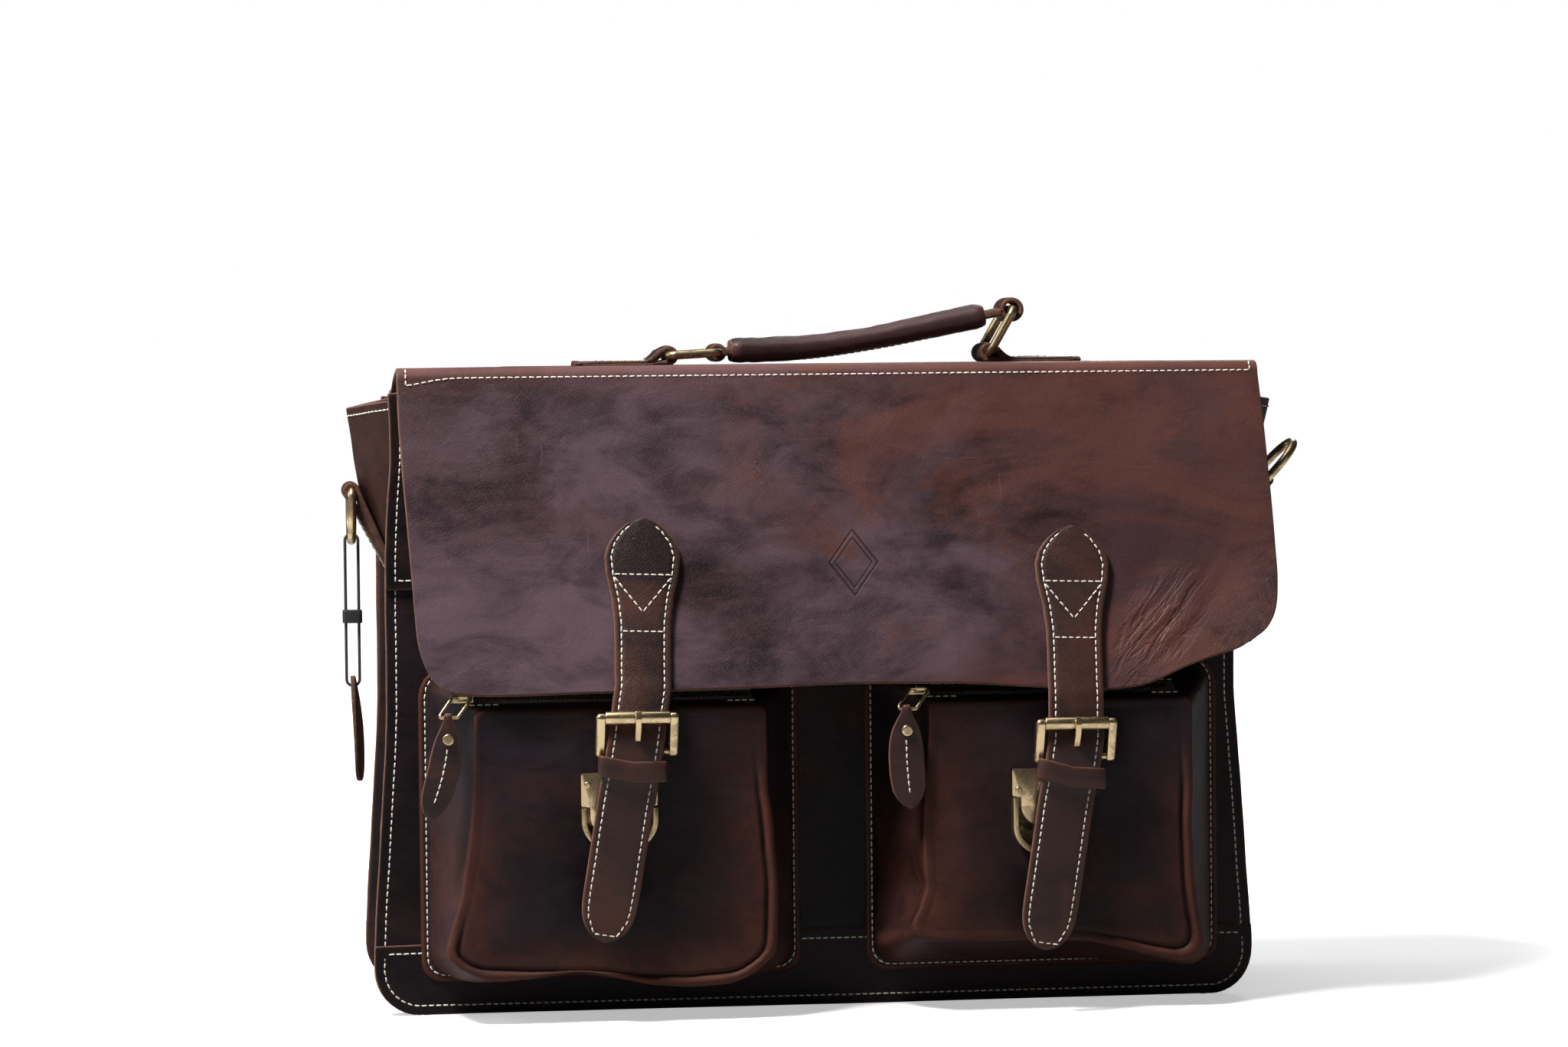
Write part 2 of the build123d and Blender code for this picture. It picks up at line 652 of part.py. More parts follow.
# ----------------------------------------------------------------------- flap
# Front view of the flap, clockwise from the top left corner: (x, z)
FLAP_OUTLINE = [
    (-188.6, 296), (204.8, 296), (204.8, 290), (206.8, 196), (204.4, 179.5), (201, 174),
    (195, 168.4), (186, 162.8), (163, 155.5), (146, 148.4), (134, 146.2), (118, 145.4),
    (90, 147.6), (61, 149.4), (10, 150.3), (-30, 149.4), (-117, 148), (-150, 147.6),
    (-165, 148.2), (-171.5, 150.5), (-176.2, 154), (-179.7, 160.7), (-181.5, 167.3),
    (-183.9, 194),
]


def flap():
    """One sheet: over the top from the back, folded down the front."""
    back_y, cut_z = 49.0, 130
    sheet = [(back_y, FLAP_TOP), (back_y, FLAP_TOP + LEATHER),
             (FLAP_FOLD_Y + 3, FLAP_TOP + LEATHER), (FLAP_FOLD_Y + 0.6, FLAP_TOP + 1.4),
             (FLAP_FOLD_Y, FLAP_TOP), (flap_y(cut_z), cut_z),
             (flap_y(cut_z) + FLAP_FRONT_T, cut_z), (FLAP_FOLD_Y + FLAP_FRONT_T, FLAP_TOP)]
    with BuildPart() as part:
        extrude(face_yz(sheet, -230), amount=460)
        with BuildSketch(front_plane(60)):
            with BuildLine():
                Polyline(*FLAP_OUTLINE, close=True)
            make_face()
        extrude(amount=180, mode=Mode.INTERSECT)
    save(part.part, "flap")


# --------------------------------------------------------------------- handle
def ring_far_end(end):
    """(x, z) of the ring's bar away from its pivot."""
    angle = radians(end.angle)
    return end.pivot[0] + RING_LEN * cos(angle), end.pivot[1] + RING_LEN * sin(angle)


def handle_tab(name, end):
    """Leather tab on the flap, looped round the ring's pivot bar."""
    x, z = end.pivot
    away = 1 if end.tab_end > x else -1
    bottom, top = FLAP_TOP + 2.1, FLAP_TOP + 4.6
    outline = [(x, bottom), (end.tab_end, bottom), (end.tab_end, top), (x + away * 7, top),
               (x + away * 2, z + TAB_LOOP_R - 0.4), (x, z + TAB_LOOP_R - 0.1)]
    with BuildPart() as tab:
        extrude(face_xz(outline, TAB_W / 2), amount=TAB_W)
        with BuildSketch(front_plane(TAB_W / 2)):
            with Locations((x, z)):
                Circle(TAB_LOOP_R)
        extrude(amount=TAB_W)
        with BuildSketch(front_plane(TAB_W / 2 + 2)):
            with Locations((x, z)):
                Circle(WIRE_R + RUN)
        extrude(amount=TAB_W + 4, mode=Mode.SUBTRACT)
    save(tab.part, f"handle_tab_{name}")


def handle_ring(name, end):
    angle = radians(end.angle)
    half = RING_IN / 2 + WIRE_R
    plane = Plane(origin=(end.pivot[0], 0, end.pivot[1]), x_dir=(cos(angle), 0, sin(angle)),
                  z_dir=(sin(angle), 0, -cos(angle)))
    with BuildLine(plane) as path:
        loop = Polyline((0, -half), (RING_LEN, -half), (RING_LEN, half), (0, half), close=True)
        fillet(loop.vertices(), BEND_R)
    round_wire(f"handle_ring_{name}", path.wires()[0], WIRE_R)


LEFT_END = ring_far_end(HANDLE_ENDS["left"])
RIGHT_END = ring_far_end(HANDLE_ENDS["right"])
# Centre line of the handle between its rings: (x, z)
HANDLE_MIDDLE = [(-26.0, 298.6), (-12.0, 298.9), (10.0, 300.3), (40.0, 304.8), (70.0, 310.6)]
HANDLE_CURVE = [LEFT_END] + HANDLE_MIDDLE + [RIGHT_END]
WRAP_CURVE = HANDLE_MIDDLE + [(88.0, 314.17)]


def handle_strap():
    """Curved strip with a loop round each ring."""
    loop_wall = 2.2
    with BuildPart() as part:
        extrude(face_xz(ribbon(HANDLE_CURVE, HANDLE_HALF_T), HANDLE_W / 2), amount=HANDLE_W)
        with BuildSketch(front_plane(HANDLE_W / 2)):
            with Locations(LEFT_END):
                Circle(WIRE_R + loop_wall)
            with Locations(RIGHT_END):
                Circle(OPEN_R + loop_wall)
        extrude(amount=HANDLE_W)
        with BuildSketch(front_plane(HANDLE_W / 2 + 2)):
            with Locations(LEFT_END):
                Circle(WIRE_R + RUN)
            with Locations(RIGHT_END):
                Circle(OPEN_R)
        extrude(amount=HANDLE_W + 4, mode=Mode.SUBTRACT)
    save(part.part, "handle_strap")


def handle_wrap():
    """Thick grip around the handle strap."""
    with BuildPart() as wrap:
        extrude(face_xz(ribbon(WRAP_CURVE, WRAP_HALF_T), WRAP_W / 2), amount=WRAP_W)
        extrude(face_xz(ribbon(HANDLE_CURVE, HANDLE_HALF_T + RUN), HANDLE_W / 2 + RUN),
                amount=HANDLE_W + 2 * RUN, mode=Mode.SUBTRACT)
    save(wrap.part, "handle_wrap")


# -------------------------------------------------------- side D-rings and tabs
def dring_tab(side):
    """Tab lying on the gusset, looped round the D-ring's bar."""
    reach = dict(side.gusset)
    bar = abs(side.dring_x)
    low_z, high_z = 197, 235

    def surface(z):
        """Reach of the gusset's middle at height z, plus a small gap."""
        return reach[195] + (reach[236] - reach[195]) * (z - 195) / 41.0 + 0.05

    slab = [(surface(low_z), low_z), (surface(high_z), high_z), (bar, DRING_Z + 2.6),
            (bar + 2.6, DRING_Z - 2.2), (surface(low_z) + 3.8, low_z)]
    with BuildPart() as tab:
        extrude(face_xz([(side.sx * x, z) for x, z in slab], DRING_TAB_W / 2),
                amount=DRING_TAB_W)
        with BuildSketch(front_plane(DRING_TAB_W / 2)):
            with Locations((side.dring_x, DRING_Z)):
                Circle(4.1)
        extrude(amount=DRING_TAB_W)
        with BuildSketch(front_plane(13)):
            with Locations((side.dring_x, DRING_Z)):
                Circle(WIRE_R + RUN)
        extrude(amount=26, mode=Mode.SUBTRACT)
    save(tab.part, f"dring_tab_{side.name}")


def dring(side):
    """Straight bar along Y, two short sides and a bow; local y runs away from the bar."""
    rest = radians(side.dring_rest)
    out = Vector(side.sx * sin(rest), 0, -cos(rest))
    centre = Vector(side.dring_x, 0, DRING_Z)
    plane = Plane(origin=centre, x_dir=(0, 1, 0), z_dir=(out.Z, 0, -out.X))
    half = DRING_IN / 2 + WIRE_R
    straight = DRING_DROP - half
    with BuildLine(plane) as path:
        bar = Polyline((-half, straight), (-half, 0), (half, 0), (half, straight))
        fillet(bar.vertices().filter_by(lambda v: abs((v.center() - centre).dot(out)) < 0.01),
               BEND_R)
        ThreePointArc((half, straight), (0, DRING_DROP), (-half, straight))
    round_wire(f"dring_{side.name}", path.wires()[0], WIRE_R)


# ----------------------------------------------------- hang tag on the left ring
TAG_X = SIDES[0].dring_x
# Outline of the tag, clockwise seen from +X's far side: (y, z)
TAG_OUTLINE = [
    (-2.5, 150.5), (2.5, 150.5), (6, 146), (10, 138), (12.5, 127), (12.5, 112), (9.5, 105),
    (4, 102), (-4, 102), (-9.5, 105), (-12.5, 112), (-12.5, 127), (-10, 138), (-6, 146),
]


def tag_cord():
    """Closed loop of cord over the bottom of the D-ring."""
    x0, x1 = TAG_X - CORD_HALF, TAG_X + CORD_HALF
    ring_low = DRING_Z - DRING_DROP
    with BuildLine(Plane.XZ) as path:
        Line((x0, TAG_TOP), (x0, ring_low))
        ThreePointArc((x0, ring_low), (TAG_X, ring_low + CORD_HALF), (x1, ring_low))
        Line((x1, ring_low), (x1, TAG_TOP))
        ThreePointArc((x1, TAG_TOP), (TAG_X, TAG_TOP - CORD_HALF), (x0, TAG_TOP))
    round_wire("tag_cord", path.wires()[0], CORD_R)


def tag_bead():
    with BuildPart() as bead:
        with BuildSketch(Plane.XY.offset(175)):
            with Locations((TAG_X, 0)):
                RectangleRounded(9, 6, 1.5)
            with Locations((TAG_X - CORD_HALF, 0), (TAG_X + CORD_HALF, 0)):
                Circle(CORD_R + RUN, mode=Mode.SUBTRACT)
        extrude(amount=6)
    save(bead.part, "tag_bead")


def hang_tag():
    thickness = 2
    with BuildPart() as tag:
        with BuildSketch(Plane.YZ.offset(TAG_X - thickness / 2)):
            with BuildLine():
                Polyline(*TAG_OUTLINE, close=True)
            make_face()
            with Locations((0, TAG_TOP - CORD_HALF)):
                Circle(1.3, mode=Mode.SUBTRACT)
        extrude(amount=thickness)
    save(tag.part, "hang_tag")


# ------------------------------------------------------------------ all pieces
body_panel("front_panel_upper", SEAM_Z, BODY_TOP, -HALF_D)
body_panel("front_panel_lower", BAND_H, SEAM_Z, -HALF_D)
body_panel("back_panel", BAND_H, BODY_TOP, HALF_D + LEATHER)
base_band("base_band_front", -HALF_D)
base_band("base_band_back", HALF_D + LEATHER)

for build in (base_panel, base_board, lining, divider, clip_rivets, flap,
              handle_strap, handle_wrap, tag_cord, tag_bead, hang_tag):
    build()

for side in SIDES:
    for build in (side_gusset, pocket_gusset, pocket_front, pocket_zip_panel, zip_chain,
                  zip_slider, pull_ring, pull_tab, pull_rivet, lock_body, lock_button,
                  lock_clip, strap, buckle_frame, buckle_roller, buckle_prong, chape,
                  keeper, dring_tab, dring):
        build(side)

for name, end in HANDLE_ENDS.items():
    handle_tab(name, end)
    handle_ring(name, end)
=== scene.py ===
"""Leather satchel with two buckled straps, two front pockets, a flap, a handle and side rings.

Geometry is written in millimetres and turned into metres when a mesh is made.
X runs right as seen from the front, the front faces -Y and Z is up.
"""
import math
from types import SimpleNamespace

import bmesh
import bpy
import numpy as np
from mathutils import Matrix, Vector, noise


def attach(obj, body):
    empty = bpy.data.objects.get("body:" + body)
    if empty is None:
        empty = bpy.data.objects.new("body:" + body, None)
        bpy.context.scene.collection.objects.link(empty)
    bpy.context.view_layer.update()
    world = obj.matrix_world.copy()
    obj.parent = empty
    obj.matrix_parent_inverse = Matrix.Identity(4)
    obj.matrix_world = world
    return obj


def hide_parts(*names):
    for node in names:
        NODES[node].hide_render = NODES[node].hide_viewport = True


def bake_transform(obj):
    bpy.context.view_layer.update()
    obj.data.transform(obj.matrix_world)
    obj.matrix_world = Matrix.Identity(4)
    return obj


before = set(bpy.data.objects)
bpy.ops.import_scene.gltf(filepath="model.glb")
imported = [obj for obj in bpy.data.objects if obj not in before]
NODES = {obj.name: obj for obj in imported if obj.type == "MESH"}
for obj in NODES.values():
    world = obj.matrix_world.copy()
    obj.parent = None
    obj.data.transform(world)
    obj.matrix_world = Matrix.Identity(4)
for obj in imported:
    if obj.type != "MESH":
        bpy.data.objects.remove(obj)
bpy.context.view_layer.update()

MM = 0.001
WELD = 1e-6     # metres
SLOT_BODY = "dark_brown_leather"
SLOT_STRAP = "strap_leather"
SLOT_LINING = "lining_cloth"


# ------------------------------------------------------------------ numbers and curves
def vec(*values):
    return np.array(values, float)


def unit(v):
    length = np.linalg.norm(v)
    return v / length if length > 1e-12 else v * 0


def lerp(a, b, t):
    return a + (b - a) * t


def ease(t):
    """Smooth step from 0 to 1."""
    t = np.clip(t, 0, 1)
    return t * t * (3 - 2 * t)


def bell(offset, width):
    return math.exp(-(offset / width) ** 2)


def table(points, x):
    return float(np.interp(x, [p[0] for p in points], [p[1] for p in points]))


def wobble(x, y, z, size, seed=0.0):
    """Smooth noise between about -1 and 1, with features of about size mm."""
    total, amount, rate = 0.0, 1.0, 1.0 / size
    for _ in range(3):
        place = Vector((x * rate + seed, y * rate - seed * 0.7, z * rate + 1.3 * seed))
        total += amount * noise.noise(place)
        amount *= 0.5
        rate *= 2.03
    return total


def angles(count):
    return np.linspace(0, 2 * math.pi, count, endpoint=False)


def squared_circle(angle, half_a, half_b, power):
    """Point on a rounded rectangle; a smaller power gives squarer corners."""
    c, s = math.cos(angle), math.sin(angle)
    return half_a * np.sign(c) * abs(c) ** power, half_b * np.sign(s) * abs(s) ** power


def arc_lengths(curve):
    return np.concatenate([[0], np.cumsum(np.linalg.norm(np.diff(curve, axis=0), axis=1))])


def at_length(curve, distance):
    lengths = arc_lengths(curve)
    columns = [np.interp(distance, lengths, curve[:, k]) for k in range(curve.shape[1])]
    return np.stack(columns, axis=-1)


def resample(curve, count):
    return at_length(curve, np.linspace(0, arc_lengths(curve)[-1], count))


def smooth_curve(points, count):
    """Catmull-Rom curve through the points, evenly resampled."""
    P = [np.array(p, float) for p in points]
    P = [2 * P[0] - P[1]] + P + [2 * P[-1] - P[-2]]
    steps = 16
    out = []
    for p0, p1, p2, p3 in zip(P, P[1:], P[2:], P[3:]):
        for j in range(steps):
            t = j / steps
            out.append(0.5 * ((2 * p1) + (-p0 + p2) * t + (2 * p0 - 5 * p1 + 4 * p2 - p3) * t * t
                              + (-p0 + 3 * p1 - 3 * p2 + p3) * t ** 3))
    out.append(P[-2])
    return resample(np.array(out), count)


def edge_spaced(length, count, lines):
    """Parameters 0..1 along a length, with extra lines at set distances from both ends."""
    ends = [0.0] + [line / length for line in lines]
    inner = np.linspace(lines[-1] / length, 1 - lines[-1] / length, count)[1:-1]
    return np.array(ends + list(inner) + [1 - v for v in reversed(ends)])


# ------------------------------------------------------------------ meshes
class MeshBuilder:
    """Collects vertices, faces, material indices and wear, and makes one mesh."""

    def __init__(self):
        self.verts, self.faces, self.mats, self.wear = [], [], [], []

    def add_faces(self, faces, mat):
        self.faces.extend(faces)
        self.mats.extend([mat] * len(faces))

    def add(self, verts, wear=None):
        """Adds vertices and gives the index of the first."""
        start = len(self.verts)
        self.verts.extend([tuple(map(float, p)) for p in verts])
        self.wear.extend([0.0] * len(verts) if wear is None else [float(w) for w in wear])
        return start

    def grid(self, points, mat=0, close_u=False, close_v=False, flip=False, wear=None):
        """mat is one index, or a table of indices that repeats over the grid."""
        nu, nv = points.shape[:2]
        start = self.add(points.reshape(-1, 3), None if wear is None else np.ravel(wear))
        for i in range(nu if close_u else nu - 1):
            for j in range(nv if close_v else nv - 1):
                i2, j2 = (i + 1) % nu, (j + 1) % nv
                a, b, c, d = (start + p * nv + q for p, q in ((i, j), (i2, j), (i2, j2), (i, j2)))
                index = mat[i % len(mat)][j % len(mat[0])] if isinstance(mat, list) else mat
                self.add_faces([(a, d, c, b) if flip else (a, b, c, d)], index)
        return start

    def fan(self, start, count, centre, mat, flip=False):
        """Closes a ring of vertices with triangles to a centre point."""
        c = self.add([centre])
        for j in range(count):
            a, b = start + j, start + (j + 1) % count
            self.add_faces([(b, a, c) if flip else (a, b, c)], mat)

    def build(self, name, materials, body, replaces, smooth=True, clean=True):
        mesh = bpy.data.meshes.new(name)
        mesh.from_pydata([(x * MM, y * MM, z * MM) for x, y, z in self.verts], [], self.faces)
        for material in materials:
            mesh.materials.append(material)
        mesh.polygons.foreach_set("material_index", self.mats)
        mesh.polygons.foreach_set("use_smooth", [smooth] * len(self.faces))
        mesh.attributes.new("wear", "FLOAT", "POINT").data.foreach_set("value", self.wear)
        mesh.update()
        if clean:
            bm = bmesh.new()
            bm.from_mesh(mesh)
            bmesh.ops.remove_doubles(bm, verts=bm.verts, dist=WELD)
            bmesh.ops.dissolve_degenerate(bm, dist=WELD, edges=bm.edges)
            bmesh.ops.recalc_face_normals(bm, faces=bm.faces)
            bm.to_mesh(mesh)
            bm.free()
        ob = bpy.data.objects.new(name, mesh)
        bpy.context.scene.collection.objects.link(ob)
        if replaces:
            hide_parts(*replaces)
        if body:
            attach(ob, body)
        return ob

    def skin(self, piece, materials, body, slot=SLOT_STRAP, replaces=None):
        """Makes the mesh that stands in for a CAD piece, or for several."""
        return self.build(piece + "_skin", materials, body, replaces or [piece])


def grid_normals(points):
    n = np.cross(np.gradient(points, axis=0), np.gradient(points, axis=1))
    return n / np.maximum(np.linalg.norm(n, axis=2, keepdims=True), 1e-9)


def wear_map(points, wear_at):
    return np.array([[wear_at(*p) for p in row] for row in points])


def sheet(mesh, outer, thickness, sign=1.0, mats=(0, 1, 2), wear=None):
    """Closed sheet below a grid of outer points, with a rounded edge.

    mats holds the indices of the outer face, the edge and the inner face.
    """
    bulge = 0.28
    normals = grid_normals(outer) * sign
    nu, nv = outer.shape[:2]
    flip = sign < 0
    outer_start = mesh.grid(outer, mats[0], flip=flip, wear=wear)
    inner_start = mesh.grid(outer - normals * thickness, mats[2], flip=not flip)
    border = ([(i, 0) for i in range(nu)] + [(nu - 1, j) for j in range(1, nv)]
              + [(i, nv - 1) for i in range(nu - 2, -1, -1)]
              + [(0, j) for j in range(nv - 2, 0, -1)])
    upper, lower = [], []
    for i, j in border:
        p, n = outer[i, j], normals[i, j]
        out = unit(p - outer[min(max(i, 1), nu - 2), min(max(j, 1), nv - 2)])
        out = unit(out - n * np.dot(out, n))
        upper.append(p - n * thickness * 0.22 + out * thickness * bulge * 0.8)
        lower.append(p - n * thickness * 0.74 + out * thickness * bulge)
    high, low = mesh.add(upper), mesh.add(lower)
    for k, (i, j) in enumerate(border):
        k2 = (k + 1) % len(border)
        p, q = i * nv + j, border[k2][0] * nv + border[k2][1]
        mesh.add_faces([(outer_start + p, outer_start + q, high + k2, high + k),
                        (high + k, high + k2, low + k2, low + k),
                        (low + k, low + k2, inner_start + q, inner_start + p)], mats[1])


RNG = np.random.RandomState(7)
STITCH_PITCH, STITCH_LENGTH = 3.25, 2.5
STITCH_HALF_WIDTH, STITCH_HEIGHT = 0.36, 0.32
# Sections of one stitch: place along it, relative radius, relative height. Both ends dip.
STITCH_SECTIONS = [(-0.5, 0.35, -0.35), (-0.40, 0.85, -0.02), (-0.15, 1.0, 0.10),
                   (0.15, 1.0, 0.10), (0.40, 0.85, -0.02), (0.5, 0.35, -0.35)]


def stitches(mesh, path, normals):
    """Row of thread stitches along a path; normals is one vector or one for each point."""
    path = np.array(path, float)
    normals = np.array(normals, float)
    if normals.ndim == 1:
        normals = np.repeat(normals[None], len(path), 0)
    lengths = arc_lengths(path)
    count = max(int(round(lengths[-1] / STITCH_PITCH)), 1)
    step = lengths[-1] / count
    for i in range(count):
        s = (i + 0.5) * step
        centre = at_length(path, s)
        along = unit(at_length(path, s + 0.3) - at_length(path, s - 0.3))
        up = unit(np.array([np.interp(s, lengths, normals[:, k]) for k in range(3)]))
        up = unit(up - along * np.dot(up, along))
        turn = RNG.uniform(-0.09, 0.09)
        along = along * math.cos(turn) + np.cross(along, up) * math.sin(turn)
        across = np.cross(along, up)
        length = STITCH_LENGTH * RNG.uniform(0.9, 1.06) * step / STITCH_PITCH
        rings = []
        for place, radius, height in STITCH_SECTIONS:
            c = centre + along * (place * length) + up * (height * STITCH_HEIGHT + 0.05)
            rings.append([c + across * (STITCH_HALF_WIDTH * radius * math.cos(k * math.pi / 3))
                          + up * (STITCH_HEIGHT * radius * math.sin(k * math.pi / 3))
                          for k in range(6)])
        start = mesh.grid(np.array(rings), 0, close_v=True)
        end = start + 6 * (len(rings) - 1)
        mesh.add_faces([tuple(start + k for k in range(5, -1, -1)),
                        tuple(end + k for k in range(6))], 0)


# ------------------------------------------------------------------ materials
class Shader:
    """One material. Wherever a value is given, a socket may be given to link it instead."""

    def __init__(self, name):
        self.material = bpy.data.materials.new(name)
        self.material.use_nodes = True
        self.tree = self.material.node_tree
        self.tree.nodes.clear()
        output = self.tree.nodes.new("ShaderNodeOutputMaterial")
        self.principled = self.tree.nodes.new("ShaderNodeBsdfPrincipled")
        self.put(output.inputs[0], self.principled.outputs[0])
        self.coord = self.node("TexCoord").outputs["Object"]

    def put(self, socket, value):
        if isinstance(value, bpy.types.NodeSocket):
            self.tree.links.new(value, socket)
        else:
            socket.default_value = value

    def node(self, kind, **values):
        """Sets inputs by name, and anything that isn't an input as a property."""
        made = self.tree.nodes.new("ShaderNode" + kind)
        for key, value in values.items():
            if key in made.inputs:
                self.put(made.inputs[key], value)
            else:
                setattr(made, key, value)
        return made

    def finish(self, **values):
        """Sets the surface; underscores in names stand for spaces."""
        for key, value in values.items():
            self.put(self.principled.inputs[key.replace("_", " ")], value)
        return self.material

    def noise(self, scale, detail=4.0, rough=0.55, distortion=0.0, stretch=(1, 1, 1),
              offset=(0, 0, 0), turn=(0, 0, 0), coord=None):
        place = self.node("Mapping", Location=offset, Rotation=turn, Scale=stretch,
                          Vector=coord or self.coord)
        return self.node("TexNoise", Scale=scale, Detail=detail, Roughness=rough,
                         Distortion=distortion, Vector=place.outputs[0]).outputs["Fac"]

    def wave(self, scale, distortion, direction):
        return self.node("TexWave", Scale=scale, Distortion=distortion,
                         bands_direction=direction, Vector=self.coord).outputs["Fac"]

    def ramp(self, fac, *stops):
        """Eased ramp; each stop is a position and a grey level or a colour."""
        made = self.node("ValToRGB", Fac=fac)
        made.color_ramp.interpolation = "EASE"
        elements = made.color_ramp.elements
        while len(elements) > 1:
            elements.remove(elements[-1])
        elements[0].position = stops[0][0]
        for k, (position, colour) in enumerate(stops):
            element = elements.new(position) if k else elements[0]
            element.color = (*((colour,) * 3 if np.isscalar(colour) else colour), 1)
        return made.outputs["Color"]

    def math(self, operation, a, b=0.5, clamp=False):
        made = self.node("Math", operation=operation, use_clamp=clamp)
        self.put(made.inputs[0], a)
        self.put(made.inputs[1], b)
        return made.outputs[0]

    def add(self, a, b, clamp=False):
        return self.math("ADD", a, b, clamp)

    def sub(self, a, b, clamp=False):
        return self.math("SUBTRACT", a, b, clamp)

    def mul(self, a, b):
        return self.math("MULTIPLY", a, b)

    def largest(self, a, b):
        return self.math("MAXIMUM", a, b)

    def distance(self, a, b):
        return self.math("ABSOLUTE", self.sub(a, b))

    def mix(self, fac, a, b):
        made = self.node("Mix", data_type="RGBA")
        self.put(made.inputs[0], fac)
        for index, colour in ((6, a), (7, b)):      # the two colour inputs
            is_socket = isinstance(colour, bpy.types.NodeSocket)
            self.put(made.inputs[index], colour if is_socket else (*colour, 1))
        return made.outputs[2]

    def bump(self, height, strength, distance, **more):
        return self.node("Bump", Strength=strength, Distance=distance, Height=height,
                         **more).outputs[0]

    def axes(self):
        return self.node("SeparateXYZ", Vector=self.coord).outputs


def scaled(colour, gain, lift=0.0):
    return tuple(c * gain + lift for c in colour)


def scratches(s, seed):
    """Long fine scratches and softer rubbed streaks, gathered in patches."""
    fine = dict(detail=3, rough=0.5)
    steep = s.noise(24, stretch=(1, 1, 22), turn=(0, 0.55, 0), offset=(1.1, 0, seed), **fine)
    flat = s.noise(19, stretch=(26, 1, 1), turn=(0, 0.25, 0), offset=(0, 2.2, seed), **fine)
    soft = s.noise(30, stretch=(1, 1, 30), turn=(0, 0.05, 0), offset=(4, 2.2, seed), **fine)
    lines = s.largest(s.ramp(steep, (0.70, 0.0), (0.76, 1.0)),
                      s.ramp(flat, (0.71, 0.0), (0.77, 1.0)))
    lines = s.largest(lines, s.mul(s.ramp(soft, (0.60, 0.0), (0.74, 1.0)), 0.35))
    patches = s.ramp(s.noise(21, offset=(seed, 5, 5), **fine), (0.48, 0.0), (0.62, 1.0))
    return s.mul(lines, patches)


def grain(s, scratch):
    """Shallow pores over low wrinkles, cut by the scratches."""
    cells = s.node("TexVoronoi", Scale=950.0, feature="DISTANCE_TO_EDGE", Vector=s.coord)
    pores = s.ramp(cells.outputs["Distance"], (0.0, 0.0), (0.09, 1.0))
    wrinkles = s.noise(95, detail=6, rough=0.62, distortion=0.8)
    height = s.add(s.mul(pores, 0.16), s.mul(wrinkles, 0.9))
    height = s.add(height, s.mul(s.noise(800, detail=3, rough=0.6), 0.22))
    height = s.sub(height, s.mul(scratch, 0.12))
    return s.bump(height, strength=0.34, distance=0.0011)


def add_creases(s, base, normal, red, x, z, radii):
    """Slanting creases in an oval patch; x and z in mm, radii in metres."""
    moved = s.node("Mapping", Location=(-x * MM, 0, -z * MM), Vector=s.coord)
    turned = s.node("Mapping", Rotation=(0, math.radians(-40), 0), Vector=moved.outputs[0])
    sized = s.node("Mapping", Scale=(1.0 / radii[0], 0.0, 1.0 / radii[1]),
                   Vector=turned.outputs[0])
    reach = s.node("VectorMath", operation="LENGTH", Vector=sized.outputs[0])
    patch = s.ramp(reach.outputs["Value"], (0.10, 1.0), (1.0, 0.0))
    lines = s.noise(105, detail=3, rough=0.5, distortion=0.9, stretch=(2.2, 1, 0.34),
                    coord=turned.outputs[0])
    creases = s.mul(s.ramp(lines, (0.38, 0.0), (0.53, 1.0), (0.66, 0.6)), patch)
    normal = s.bump(creases, strength=0.5, distance=0.0012, Normal=normal)
    return s.mix(s.mul(creases, 0.30), base, scaled(red, 1.15)), normal


def add_lozenge(s, base, normal, dark, x, z, half_x, half_z):
    """Two nested lozenge lines pressed into the front, in mm."""
    axes = s.axes()
    across = s.mul(s.distance(axes[0], x * MM), 1000.0 / half_x)
    down = s.mul(s.distance(axes[2], z * MM), 1000.0 / half_z)
    radius = s.add(across, down)
    on_front = s.math("LESS_THAN", axes[1], -0.055)
    outer, inner = (s.sub(1.0, s.mul(s.distance(radius, size), 1.0 / width), clamp=True)
                    for size, width in ((1.0, 0.060), (0.76, 0.045)))
    lines = s.mul(s.largest(outer, inner), on_front)
    normal = s.bump(lines, strength=0.9, distance=0.0007, invert=True, Normal=normal)
    return s.mix(s.mul(lines, 0.6), base, scaled(dark, 0.6)), normal


